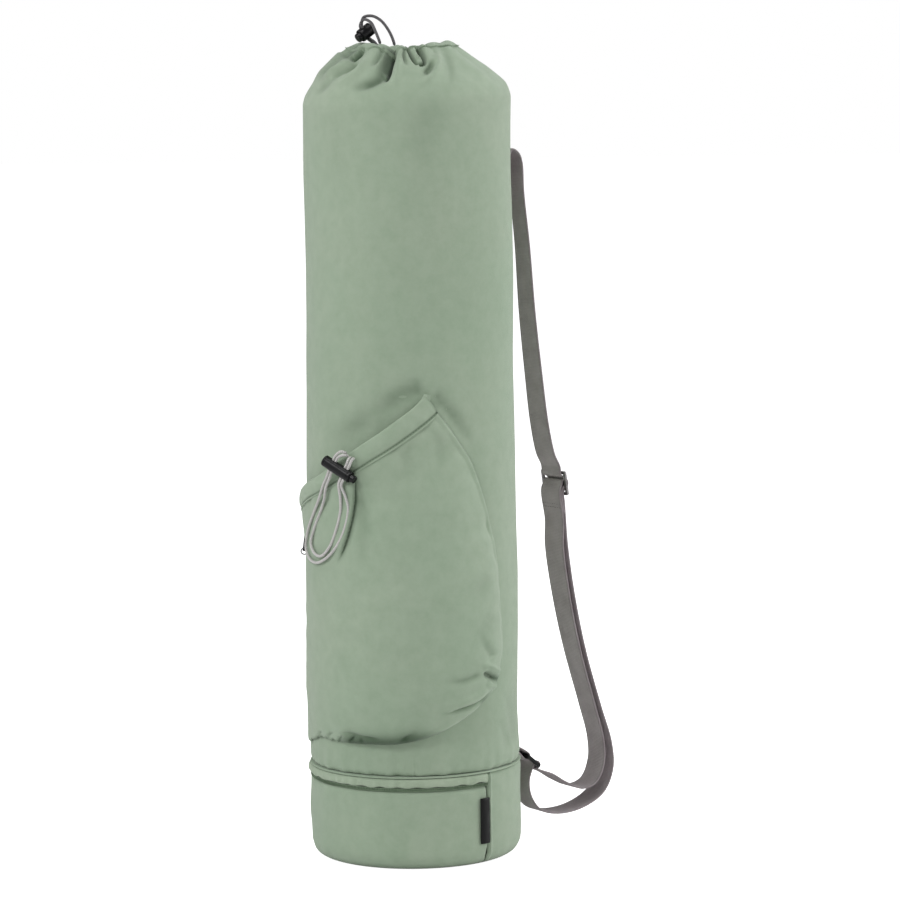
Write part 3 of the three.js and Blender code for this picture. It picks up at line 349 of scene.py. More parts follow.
# Sewing thread: two plies twisted round each other
def threadMaterial(name, main, deep):
    shader = Shader(name)
    x, y, z = shader.split(shader.coordinates("Object"))
    plies = ((x + y + z) * 9000.0).sine() * 0.5 + 0.5
    shader.set(Base_Color=shader.blend(plies, deep, main), Roughness=0.6)
    shader.bump(plies, 0.00008, 0.6)
    return shader.material


# The last tone given to each cloth is the colour of its painted shade
finishes = {
    "sage": clothMaterial(
        "sageCloth", tone(155, 174, 151), tone(135, 156, 131), tone(163, 178, 157), tone(58, 80, 56)
    ),
    # Painted light: the flap is the tube's sage cloth in lighter tones, for the light on its puffy band
    "flap": clothMaterial(
        "sageFlapLitCloth", tone(164, 181, 158), tone(138, 157, 132), tone(172, 186, 164), tone(70, 92, 66)
    ),
    # The zip tape's own darker green, which also stands in for painted shade in its recess under the flap
    "tape": clothMaterial(
        "zipTapeCloth", tone(118, 138, 113), tone(92, 112, 88), tone(130, 148, 124), tone(60, 78, 58), 0.8
    ),
    "label": plasticMaterial("satinLabel", tone(3, 3, 4), 0.5),
    "webbing": webbingMaterial("strapWebbing", tone(172, 162, 165), tone(112, 103, 107), tone(194, 185, 188)),
    "ties": webbingMaterial("keyTabWebbing", tone(24, 24, 27), tone(12, 12, 14), tone(34, 34, 38), 5.0),
    "paleCord": cordMaterial("paleCord", tone(236, 234, 231), tone(182, 180, 178)),
    "darkCord": cordMaterial("darkCord", tone(112, 110, 112), tone(52, 51, 55)),
    "black": plasticMaterial("blackPlastic", tone(5, 5, 8), 0.34),
    "ring": plasticMaterial("ringPlastic", tone(9, 9, 11), 0.4),
    "nickel": metalMaterial("darkNickel", tone(150, 146, 148), tone(112, 108, 110)),
    "steel": metalMaterial("greyWire", tone(150, 150, 152), tone(110, 110, 114)),
    "thread": threadMaterial("sageThread", tone(150, 168, 145), tone(104, 122, 100)),
    "strapThread": threadMaterial("strapThread", tone(168, 160, 162), tone(112, 105, 107)),
    "coil": plasticMaterial("zipCoil", tone(96, 114, 92), 0.4),
}
print("stage: materials")


# Shape helpers


def smooth(value):
    share = np.clip(value, 0, 1)
    return share * share * (3 - 2 * share)


def hill(distance, width):
    return np.exp(-((distance / width) ** 2))


def around(azimuth, radius, height):
    turn = np.radians(azimuth)
    parts = np.broadcast_arrays(radius * np.sin(turn), -radius * np.cos(turn), height)
    return np.stack(parts, axis=-1)


# Sum of waves in fixed random directions, from about -1 to 1, for soft uneven cloth
def ripple(x, y, length, seed, waves=9):
    random = np.random.default_rng(seed)
    total = np.zeros(np.broadcast(x, y).shape)
    for _ in range(waves):
        angle = random.uniform(0, 2 * math.pi)
        stretch = length * random.uniform(0.7, 1.5)
        phase = random.uniform(0, 2 * math.pi)
        total += np.sin((x * math.cos(angle) + y * math.sin(angle)) * 2 * math.pi / stretch + phase)
    return total / math.sqrt(waves / 2) / 1.6


# Smooth line through chosen points, as the cords' own makers wind it (centripetal) or evenly
def throughPoints(points, count, evenly=False):
    points = np.asarray(points, float)
    ends = [2 * points[0] - points[1], 2 * points[-1] - points[-2]]
    padded = np.vstack([ends[0], points, ends[1]])
    if evenly:
        padded[0], padded[-1] = points[0], points[-1]
    shares = np.linspace(0, len(points) - 1, count)
    line = []
    for share in shares:
        k = min(int(share), len(points) - 2)
        t = share - k
        p0, p1, p2, p3 = padded[k : k + 4]
        if evenly:
            line.append(hermite(p1, p2, (p2 - p0) / 2, (p3 - p1) / 2, t))
            continue
        d0, d1, d2 = (max(np.linalg.norm(b - a), 1e-9) ** 0.5 for a, b in ((p0, p1), (p1, p2), (p2, p3)))
        out = ((p1 - p0) / d0 - (p2 - p0) / (d0 + d1) + (p2 - p1) / d1) * d1
        into = ((p2 - p1) / d1 - (p3 - p1) / (d1 + d2) + (p3 - p2) / d2) * d1
        line.append(hermite(p1, p2, out, into, t))
    return np.array(line)


def hermite(start, end, out, into, t):
    return (
        (2 * t**3 - 3 * t**2 + 1) * start
        + (t**3 - 2 * t**2 + t) * out
        + (3 * t**2 - 2 * t**3) * end
        + (t**3 - t**2) * into
    )


# Line of points read again at even steps of its length
def evenSteps(line, count):
    steps = np.r_[0, np.cumsum(np.linalg.norm(np.diff(line, axis=0), axis=1))]
    at = np.linspace(0, steps[-1], count)
    return np.stack([np.interp(at, steps, line[:, k]) for k in range(line.shape[1])], axis=-1)


def lineLength(line):
    return float(np.linalg.norm(np.diff(line, axis=0), axis=1).sum())


# Nearest distance from each place to a drawn line, the side it lies on and its share of the line
def nearLine(x, y, points):
    line = throughPoints(points, 6 * (len(points) - 1) + 1)
    steps = np.r_[0, np.cumsum(np.linalg.norm(np.diff(line, axis=0), axis=1))]
    best = np.full(x.shape, 1e9)
    side = np.zeros(x.shape)
    share = np.zeros(x.shape)
    for k in range(len(line) - 1):
        (ax, ay), (bx, by) = line[k], line[k + 1]
        dx, dy = bx - ax, by - ay
        t = np.clip(((x - ax) * dx + (y - ay) * dy) / (dx * dx + dy * dy), 0, 1)
        away = np.hypot(x - ax - t * dx, y - ay - t * dy)
        closer = away < best
        best = np.where(closer, away, best)
        side = np.where(closer, np.sign(dx * (y - ay) - dy * (x - ax)), side)
        share = np.where(closer, (steps[k] + t * math.hypot(dx, dy)) / steps[-1], share)
    return best, side, share


# Cloth pushed in (or out, where depth is under 0) along drawn lines: each row is a line of
# (x, y) places, its depth, half width and the shares of its length over which its ends fade
def drawnFolds(x, y, rows):
    total = np.zeros(x.shape)
    for line, depth, width, fadeStart, fadeEnd in rows:
        away, _, share = nearLine(x, y, line)
        fade = np.ones(x.shape)
        if fadeStart:
            fade = fade * smooth(share / fadeStart)
        if fadeEnd:
            fade = fade * smooth((1 - share) / fadeEnd)
        total += depth * fade * hill(away, width)
    return total


# Mesh builder that takes grids of points, in millimetres, and closes a wall between two of them
class Cloth:
    def __init__(self, name):
        self.name = name
        self.places = []
        self.count = 0
        self.faces = []
        self.uvs = []
        self.paintedShades = []

    # Points as rows of columns; flat places have one column more where the grid wraps round
    def grid(self, points, flat, wrap, inward=False, crease=0.0):
        rows, columns = points.shape[:2]
        first = self.count
        self.places.append(points.reshape(-1, 3))
        # Painted shade: the crease values given with a grid say how far its cloth is darkened
        self.paintedShades.append(np.broadcast_to(crease, (rows, columns)).ravel())
        self.count += rows * columns
        number = first + np.arange(rows * columns).reshape(rows, columns)
        if wrap:
            number = np.hstack([number, number[:, :1]])
        corners = [(0, 0), (0, 1), (1, 1), (1, 0)]
        if inward:
            corners.reverse()
        high, wide = number.shape
        quads = [number[a : high - 1 + a, b : wide - 1 + b] for a, b in corners]
        places = [flat[a : high - 1 + a, b : wide - 1 + b] for a, b in corners]
        self.faces += np.stack(quads, -1).reshape(-1, 4).tolist()
        self.uvs.append(np.stack(places, 2).reshape(-1, 2))
        return number

    # Strip of triangles between a line of points and a coarser one beside it
    def strip(self, fine, coarse, fineFlat, coarseFlat, turned=False):
        each = (len(fine) - 1) // (len(coarse) - 1)
        for j in range(len(coarse) - 1):
            middle = j * each + (each + 1) // 2
            for k in range(j * each, (j + 1) * each):
                c = j if k < middle else j + 1
                self.triangle((fine[k], fine[k + 1], coarse[c]), (fineFlat[k], fineFlat[k + 1], coarseFlat[c]), turned)
            self.triangle((coarse[j], fine[middle], coarse[j + 1]), (coarseFlat[j], fineFlat[middle], coarseFlat[j + 1]), turned)

    def triangle(self, corners, flat, turned):
        order = (2, 1, 0) if turned else (0, 1, 2)
        self.faces.append([int(corners[k]) for k in order])
        self.uvs.append(np.array([flat[k] for k in order]))

    # Wall of cloth: an outer grid, an inner one that may be coarser, and the strips round its rims
    def wall(self, outer, inner, flat, wrap, crease=0.0):
        rowStep = (outer.shape[0] - 1) // (inner.shape[0] - 1)
        columnStep = (flat.shape[1] - 1) // (inner.shape[1] - (0 if wrap else 1))
        innerFlat = flat[::rowStep, ::columnStep]
        out = self.grid(outer, flat, wrap, crease=crease)
        back = self.grid(inner, innerFlat, wrap, inward=True)
        self.strip(out[-1], back[-1], flat[-1], innerFlat[-1])
        self.strip(out[0], back[0], flat[0], innerFlat[0], turned=True)
        if not wrap:
            self.strip(out[:, 0], back[:, 0], flat[:, 0], innerFlat[:, 0])
            self.strip(out[:, -1], back[:, -1], flat[:, -1], innerFlat[:, -1], turned=True)

    def finish(self, material, body="bag", replaces=(), sharp=50):
        mesh = bpy.data.meshes.new(self.name)
        mesh.from_pydata((np.vstack(self.places) * mm).tolist(), [], self.faces)
        layer = mesh.uv_layers.new(name="UVMap")
        layer.data.foreach_set("uv", (np.vstack(self.uvs) * mm).astype(np.float32).ravel())
        # Painted shade goes into the crease attribute, which the cloth material darkens by
        if self.paintedShades:
            depth = mesh.attributes.new("crease", "FLOAT", "POINT")
            depth.data.foreach_set("value", np.clip(np.concatenate(self.paintedShades), 0, 1).astype(np.float32))
        return addPiece(self.name, mesh, material, body, replaces, sharp)


def addPiece(name, mesh, material, body="bag", replaces=(), sharp=50):
    mesh.polygons.foreach_set("use_smooth", [True] * len(mesh.polygons))
    mesh.set_sharp_from_angle(angle=math.radians(sharp))
    mesh.materials.clear()
    mesh.materials.append(finishes[material])
    piece = bpy.data.objects.new(name, mesh)
    scene.collection.objects.link(piece)
    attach(piece, body)
    if replaces:
        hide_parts(*replaces)
    return piece


# Directions that point out of a grid of points, rows upward and columns to the right seen from outside
def outward(points, wrap):
    if wrap:
        ring = np.concatenate([points[:, -1:], points, points[:, :1]], axis=1)
        across = ring[:, 2:] - ring[:, :-2]
    else:
        across = np.gradient(points, axis=1)
    up = np.gradient(points, axis=0)
    normal = np.cross(across, up)
    return normal / np.maximum(np.linalg.norm(normal, axis=-1, keepdims=True), 1e-9)


# Cords and their locks. The cords' points are the same chosen ones as the solids follow.

bag = {
    "gap": 0.3,
    "cloth": 1.4,
    "hem": 2.8,
    "baseRadius": 91.0,
    "topRadius": 89.0,
    "seamHeight": 80.0,
    "shoulderHeight": 643.0,
    "shoulderRise": 48.0,
    "mouthRadius": 46.0,
    "mouthHole": 29.0,
}


perDegree = bag["topRadius"] * math.pi / 180


def bodyRadius(height):
    share = np.clip(height / bag["shoulderHeight"], 0, 1)
    return bag["baseRadius"] + (bag["topRadius"] - bag["baseRadius"]) * share


lockSizes = {"endWall": 1.4, "sideWall": 1.3, "fit": 0.3, "chamfer": 1.0, "strandGap": 0.4, "bow": 0.12}


def lockOf(radius, travel, stub, alongSlot, acrossSlot, pitch, holes):
    start = lockSizes["endWall"] + travel + bag["gap"]
    first = start + lockSizes["endWall"] + alongSlot / 2
    centres = [first + k * pitch for k in range(holes)]
    length = centres[-1] + alongSlot / 2 + travel + lockSizes["endWall"]
    return {
        "radius": radius,
        "travel": travel,
        "alongSlot": alongSlot,
        "acrossSlot": acrossSlot,
        "start": start,
        "centres": centres,
        "length": length,
        "end": length + stub,
        "bore": radius - lockSizes["sideWall"],
        "middle": (length + stub) / 2,
    }


# Frame of a lock: its own Z along the barrel, Y along its holes
def lockFrame(place, axis, entry):
    z = Vector(axis).normalized()
    y = Vector(entry)
    y = (y - z * y.dot(z)).normalized()
    x = y.cross(z)
    made = Matrix((x, y, z)).transposed().to_4x4()
    made.translation = Vector(place)
    return made


pocketLock = {
    "cord": 2.4,
    "azimuth": -32.0,
    "out": 110.9,
    "height": 341.2,
    "roll": 27.0,
    "outerStart": [(-3.2, 13.6, -5.4), (-3.8, 14.8, -2.4), (-6.2, 14.4, -0.4)],
    "outerEnd": [(6.3, 12.4, -0.4), (5.8, 14.2, -2.4), (5.2, 13.4, -5.3)],
    "innerStart": [(-0.4, 12.6, -5.4), (-1.0, 13.4, -2.6), (-3.4, 12.4, -0.4)],
    "innerEnd": [(3.3, 11.8, -0.4), (2.9, 13.4, -2.4), (2.4, 12.6, -5.4)],
    "outerLoop": [
        (-43.5, 107, 326), (-47.4, 104.8, 315), (-53.4, 101.8, 303), (-63, 98.6, 284.8),
        (-67.2, 97.8, 270), (-61, 99.4, 261.5), (-51, 101.8, 260), (-39.6, 104.3, 271),
        (-33, 105, 287.4), (-29.8, 105.2, 308), (-30.4, 107.6, 319),
    ],
    "innerLoop": [
        (-41.4, 107.6, 325), (-43.8, 105, 315), (-48, 102.5, 304), (-55, 100.5, 287.5),
        (-58.6, 99.9, 274.5), (-54, 101.2, 267), (-47.4, 102.9, 266.5), (-41, 104, 276),
        (-36.8, 104.5, 291), (-34.2, 105, 306), (-33.2, 107.4, 317),
    ],
}
pocketStrand = (pocketLock["cord"] + lockSizes["strandGap"]) / 2
pocketBarrel = lockOf(
    4.9, 3.0, 4.6, 2 * pocketStrand + pocketLock["cord"] + 0.6, pocketLock["cord"] + 0.6, 13.0, 2
)


def pocketLockFrame():
    azimuth = math.radians(pocketLock["azimuth"])
    roll = math.radians(pocketLock["roll"])
    level = Vector((math.cos(azimuth), math.sin(azimuth), 0))
    axis = level * math.cos(roll) - Vector((0, 0, math.sin(roll)))
    entry = level * math.sin(roll) + Vector((0, 0, math.cos(roll)))
    place = around(pocketLock["azimuth"], pocketLock["out"], pocketLock["height"])
    return lockFrame(place, axis, entry)


pocketFrame = pocketLockFrame()


# Points of one pocket cord: out of the casing, through the lock, round its loop and back
def pocketCordPoints(start, loop, end, side):
    def local(along, up, out):
        return pocketFrame @ Vector((-out, up, along))

    def through(hole, offset):
        radius = pocketBarrel["radius"]
        bow = lockSizes["bow"]
        along = pocketBarrel["centres"][hole] - pocketBarrel["middle"] + offset
        levels = (1.5, 1, 0, -1, -2)
        return [(along, level * radius * (1 + bow), -bow * max(0, abs(level) - 1) * radius) for level in levels]

    enter = [local(*point) for point in [*start, *through(0, -side)]]
    hang = [Vector(around(*point)) for point in loop]
    leave = [local(*point) for point in [*through(1, side)[::-1], *end]]
    return enter + hang + leave


mouthLock = {
    "cord": 2.5,
    "place": (-35, -12, 702),
    "axis": (-0.7, -0.45, -0.55),
    "entry": (-0.5, -0.2, 0.84),
    "start": [(-21, -44.6, 692.8), (-22.2, -46, 696.6), (-24.8, -42, 703), (-29, -30, 711), (-35.5, -18, 713.4)],
    "tail": [
        (-28.4, -7, 694.6), (-24.6, -5, 689.6), (-22.4, -3.4, 681), (-21, -4.4, 674), (-20.2, -9.2, 670.8),
        (-20.2, -13.8, 674.6), (-21.4, -13.4, 682), (-23.4, -12, 690), (-26.9, -11.6, 695),
    ],
    "end": [
        (-35.6, -17, 715), (-28, -24, 716.4), (-20, -32, 712), (-13.4, -39, 703), (-10, -42.6, 695),
        (-9.2, -42, 691.4),
    ],
}
mouthStrand = (mouthLock["cord"] + lockSizes["strandGap"]) / 2
mouthBarrel = lockOf(
    5.6, 2.5, 3.6, mouthLock["cord"] + 0.6, 2 * mouthStrand + mouthLock["cord"] + 0.6, 0.0, 1
)
mouthFrame = lockFrame(mouthLock["place"], mouthLock["axis"], mouthLock["entry"])


def mouthCordPoints():
    along = mouthBarrel["centres"][0] - mouthBarrel["middle"]
    reach = mouthBarrel["radius"] * (1 + lockSizes["bow"])

    def through(side):
        return [mouthFrame @ Vector((side * mouthStrand, level * reach, along)) for level in (1, 0, -1)]

    tail = [Vector(point) for point in mouthLock["tail"]]
    start = [Vector(point) for point in mouthLock["start"]]
    end = [Vector(point) for point in mouthLock["end"]]
    return start + through(-1) + tail + through(1)[::-1] + end


# Round tube along a line, with turns round and diameters along in its UV map, and rounded ends
def tube(name, line, diameter, material, replaces, sides=14):
    along = np.gradient(line, axis=0)
    along /= np.linalg.norm(along, axis=1, keepdims=True)
    side = np.cross(along[0], [0.3, 0.5, 0.8])
    sideways = []
    for direction in along:
        side = side - direction * side.dot(direction)
        side /= np.linalg.norm(side)
        sideways.append(side.copy())
    sideways = np.array(sideways)
    upward = np.cross(along, sideways)
    turns = np.linspace(0, 2 * math.pi, sides, endpoint=False)
    steps = np.r_[0, np.cumsum(np.linalg.norm(np.diff(line, axis=0), axis=1))]
    radius = np.full(len(line), diameter / 2)
    fromEnd = np.minimum(steps, steps[-1] - steps)
    radius *= np.sqrt(np.clip(1 - (1 - np.clip(fromEnd / (diameter * 0.3), 0, 1)) ** 2, 0.04, 1))
    ring = (
        line[:, None]
        + sideways[:, None] * (np.cos(turns)[None, :, None] * radius[:, None, None])
        + upward[:, None] * (np.sin(turns)[None, :, None] * radius[:, None, None])
    )
    share = np.linspace(0, 1, sides + 1)
    flat = np.stack(np.broadcast_arrays(share[None, :], (steps / diameter)[:, None]), -1)
    made = Cloth(name)
    number = made.grid(ring, flat / mm, True)
    made.faces.append(number[0][:-1][::-1].tolist())
    made.uvs.append(np.zeros((sides, 2)))
    made.faces.append(number[-1][:-1].tolist())
    made.uvs.append(np.zeros((sides, 2)))
    return made.finish(material, replaces=replaces, sharp=70)


def addCord(name, points, diameter, material, steps):
    line = evenSteps(throughPoints([list(p) for p in points], 24 * len(points)), steps)
    piece = tube(name, line, diameter, material, [name])
    return piece, line


def declareCord(line):
    line[0] * mm
    line * mm


outerPoints = pocketCordPoints(
    pocketLock["outerStart"], pocketLock["outerLoop"], pocketLock["outerEnd"], pocketStrand
)
innerPoints = pocketCordPoints(
    pocketLock["innerStart"], pocketLock["innerLoop"], pocketLock["innerEnd"], -pocketStrand
)
outerCord, outerLine = addCord("pocket_cord_outer", outerPoints, pocketLock["cord"], "paleCord", 190)
innerCord, innerLine = addCord("pocket_cord_inner", innerPoints, pocketLock["cord"], "paleCord", 170)
mouthCord, mouthLine = addCord("mouth_cord", mouthCordPoints(), mouthLock["cord"], "darkCord", 190)
for label, line in (("outer", outerLine), ("inner", innerLine), ("mouth", mouthLine)):
    print(f"stage: {label} cord is {lineLength(line):.1f} mm long")


# Tube of the bag

# Share of the shoulder's rise against the share of the way in to the mouth, on each side
shoulderTable = [
    (0, 0, 0),
    (0.16, 0.015, 0.05),
    (0.36, 0.12, 0.18),
    (0.58, 0.37, 0.35),
    (0.77, 0.63, 0.54),
    (0.93, 0.87, 0.73),
    (1, 1, 0.84),
]
shoulderCurve = throughPoints(shoulderTable, 601, evenly=True)

# Gathers of the mouth: azimuth, half width in degrees, depth and where each begins on the shoulder
gathers = [
    (-70, 11, 0.35, 0.2),
    (-42, 7, 0.55, 0.5),
    (-13, 8, 1, 0.3),
    (11, 6, 0.8, 0.55),
    (27, 6, 0.35, 0.4),
    (60, 12, 0.25, 0.5),
    (95, 9, 0.6, 0.35),
    (122, 8, 0.8, 0.25),
    (149, 8, 0.7, 0.4),
    (176, 9, 0.9, 0.25),
    (203, 8, 0.65, 0.35),
    (231, 9, 0.85, 0.3),
    (260, 8, 0.6, 0.4),
]
gatherDeep = 8.0


def gatherDepth(azimuth, rise):
    total = 0
    for middle, width, depth, begin in gathers:
        turn = (azimuth - middle + 540) % 360 - 180
        round_ = hill(turn, width)
        crease = np.exp(-np.hypot(turn, 1.2) / (width * 0.42))
        total = total + depth * (0.6 * round_ + 0.5 * crease) * smooth((rise - begin) / (1 - begin))
    return gatherDeep * total


# Radius and height on the shoulder, where share runs along its table, and the rise there
def shoulderAt(azimuth, share):
    place = np.clip(share, 0, 1) * (len(shoulderCurve) - 1)
    steps = np.arange(len(shoulderCurve))
    rise, right, left = (np.interp(place, steps, shoulderCurve[:, k]) for k in range(3))
    rightward = (1 + np.sin(np.radians(azimuth))) / 2
    inward = left + (right - left) * rightward
    radius = bag["topRadius"] + (bag["mouthRadius"] - bag["topRadius"]) * inward
    return radius, bag["shoulderHeight"] + bag["shoulderRise"] * rise, rise


# Where points show on the upright plane through the bag's middle, looked at from the front
def seen(points):
    eye = np.array(view["place"]) / mm
    share = -eye[1] / (points[..., 1] - eye[1])
    return eye[0] + (points[..., 0] - eye[0]) * share, eye[2] + (points[..., 2] - eye[2]) * share


# Drawn line of (azimuth, height) places on the tube and its shoulder as it shows from the front
def drawnOnTube(places):
    line = []
    for azimuth, height in places:
        radius = float(bodyRadius(height))
        if height > bag["shoulderHeight"]:
            shares = np.linspace(0, 1, 400)
            radii, heights, _ = shoulderAt(azimuth, shares)
            radius = float(np.interp(height, heights, radii))
        line.append(np.array(seen(around(azimuth, radius, height))))
    return np.array(line)


def drawnRows(rows, trace):
    return [(trace(line), *rest) for line, *rest in rows]


# Folds of the gathered neck at the front: their line, depth, half width and the fading of their ends
neckFolds = [
    ([(-11.4, 692), (-11.4, 684), (-11.7, 677), (-11.5, 670.6), (-12.5, 662)], 9.0, 2.0, 0, 0.3),
    ([(-16.5, 692), (-15.5, 683), (-15, 674), (-16.5, 667)], 6.0, 4.5, 0, 0.4),
    ([(-13, 671), (-18, 664.5), (-24, 660.5), (-31, 660), (-37, 663)], 4.6, 4.2, 0.1, 0.45),
    ([(-5.2, 686), (-5.0, 676), (-6.2, 666), (-8.3, 656)], -3.4, 3.2, 0.25, 0.5),
    ([(2.2, 692), (4.4, 686), (6.8, 680.6), (9.4, 677.0)], 6.5, 1.5, 0, 0.1),
    ([(9.4, 677.0), (14.4, 678.6), (15.6, 684.6), (13.8, 692)], 6.5, 1.5, 0.1, 0.0),
    ([(8.2, 692), (9.4, 686), (10, 681.5)], -3.4, 2.0, 0, 0.3),
    ([(23, 681), (17.5, 674), (10.5, 666.5)], 4.4, 3.0, 0.3, 0.4),
    ([(30, 689), (25, 678), (19, 669), (12.1, 662.4), (6, 657)], -3.4, 3.0, 0.2, 0.45),
    ([(-46.3, 692), (-46.2, 687), (-48, 683), (-54, 687)], 4.6, 1.6, 0, 0.2),
    ([(-60, 691), (-65.4, 681), (-67.2, 671), (-66.4, 659)], 3.0, 4.0, 0, 0.4),
    ([(-86, 689), (-89, 675), (-87, 660)], -3.0, 9.0, 0.1, 0.4),
    ([(-46.2, 682), (-51.6, 675), (-59.7, 670), (-60.3, 659)], -3.6, 2.8, 0.3, 0.4),
    ([(-39.5, 682), (-41.5, 675), (-50, 671), (-56, 662)], 4.6, 2.6, 0.2, 0.4),
    ([(-32.9, 686), (-32.9, 673), (-40.5, 664), (-48, 656)], -3.4, 3.2, 0.3, 0.45),
    ([(-55, 668), (-58, 660), (-66, 652)], 2.8, 3.4, 0.3, 0.5),
    ([(48.5, 692), (48.2, 679), (53.3, 668.7), (61.1, 655)], -1.6, 3.6, 0, 0.4),
    ([(38, 692), (35, 681), (30, 669), (24, 655)], 1.6, 3.4, 0, 0.5),
    ([(-24, 692), (-23.5, 684), (-25, 674)], 3.6, 1.8, 0, 0.5),
    ([(-1, 692), (-1, 684), (1, 674)], 3.6, 1.6, 0, 0.5),
]
# Painted shade on the neck: line, share of shade, half width and the fading of their ends
neckShades = [
    ([(-60, 690), (-66, 680), (-68, 670), (-67, 658)], 0.34, 4.5, 0, 0.4),
    ([(-11.6, 690), (-11.8, 678), (-12, 666)], 0.35, 1.8, 0, 0.3),
    ([(-15, 668), (-20, 663), (-28, 661)], 0.25, 3.0, 0.2, 0.4),
    ([(9.6, 680), (12, 678), (14.6, 681)], 0.4, 1.2, 0.2, 0.2),
    ([(-47, 690), (-47, 684), (-50, 682)], 0.35, 1.4, 0, 0.2),
    ([(24, 648), (16, 640), (14, 622), (20, 600)], 0.05, 17, 0.3, 0.6),
]
# Slack of the tube's cloth at the front, above the pocket and beside it
wallFolds = [
    ([(9, 410), (-3, 402), (-14, 392), (-22, 384)], 3.4, 6.5, 0.15, 0.5),
    ([(-16, 392), (-26, 379), (-38, 368), (-50, 356)], 2.4, 8, 0.4, 0.5),
    ([(12, 404), (21, 389), (30, 370), (38, 350)], 3.2, 4.5, 0.1, 0.6),
    ([(60, 150), (66, 124), (68, 95)], 1.6, 4, 0.4, 0.2),
    ([(72, 165), (77, 130), (76, 92)], 1.6, 4.5, 0.5, 0.2),
    ([(50, 128), (58, 112), (62, 92)], 1.6, 4, 0.4, 0.3),
    ([(12, 646), (8, 610), (14, 560)], 1.2, 12, 0.2, 0.6),
    ([(-46, 645), (-40, 600), (-44, 540)], 0.8, 12, 0.2, 0.6),
]
backCreases = {"count": 24, "seed": 11, "width": (1.6, 3.4), "depth": (0.5, 1.6), "begin": (0.45, 0.8)}
sleeve = {
    "columns": 420,
    "shoulderRows": 58,
    "wall": [81, 81.5, 82.1, 82.9, 84, 85.4, 87.2, 89.4, 92, 95, 98.6],
    "wallRows": 97,
    "slack": (150, 1.1, 46, 0.35),
    "seamPinch": (2.6, 3.2),
    "puckers": (13.0, 0.9, 10.0),
    "dents": (95, 3.4),
    "gatherShade": 0.1,
    "slackShade": 0.07,
    "creaseShade": 0.02,
}


def frontFolds(points, rows):
    x, z = seen(points)
    return drawnFolds(x, z, rows) * smooth((20 - points[..., 1]) / 40)


tubeDrawn = drawnRows(neckFolds, drawnOnTube)
wallDrawn = drawnRows(wallFolds, drawnOnTube)
shadeDrawn = drawnRows(neckShades, drawnOnTube)


def smallCreases(azimuth, rise):
    random = np.random.default_rng(backCreases["seed"])
    total = 0
    for middle in np.linspace(84, 276, backCreases["count"]):
        width, depth, begin = (random.uniform(*backCreases[key]) for key in ("width", "depth", "begin"))
        turn = (azimuth - middle - random.uniform(-3, 3) - 4 * rise + 540) % 360 - 180
        total = total + depth * np.exp(-np.hypot(turn, 0.5) / width) * smooth((rise - begin) / (1 - begin))
    return total


def uneven(along, length, seed):
    return ripple(along, 0 * along, length, seed, 6)


# Azimuths all round, closer together at the front
def frontFirst(count):
    share = np.linspace(0, 1, count, endpoint=False)
    return 360 * share - 28 * np.sin(2 * math.pi * share)


# Hem round the mouth: share of the way in to the hole against the share of its rise
casingTable = [(0, 0), (0.12, 0.34), (0.36, 0.82), (0.66, 1), (0.93, 0.45), (1, -0.7)]
casing = {"rise": 4.6, "dip": 0.6, "fold": 0.9, "rows": 30, "groove": (2.6, 0.9, 0.7)}


def casingAt(azimuth, shares):
    curve = throughPoints(casingTable, 201, evenly=True)
    inward, rise = (np.interp(shares * 200, np.arange(201), curve[:, k]) for k in range(2))
    edge, _, _ = shoulderAt(azimuth, 1.0)
    sideways = np.sin(np.radians(azimuth)) ** 2
    lift = casing["rise"] * (1 - casing["dip"] * (1 - sideways))
    radius = edge + (bag["mouthHole"] - edge) * inward
    return radius, bag["shoulderHeight"] + bag["shoulderRise"] + bag["gap"] + lift * rise


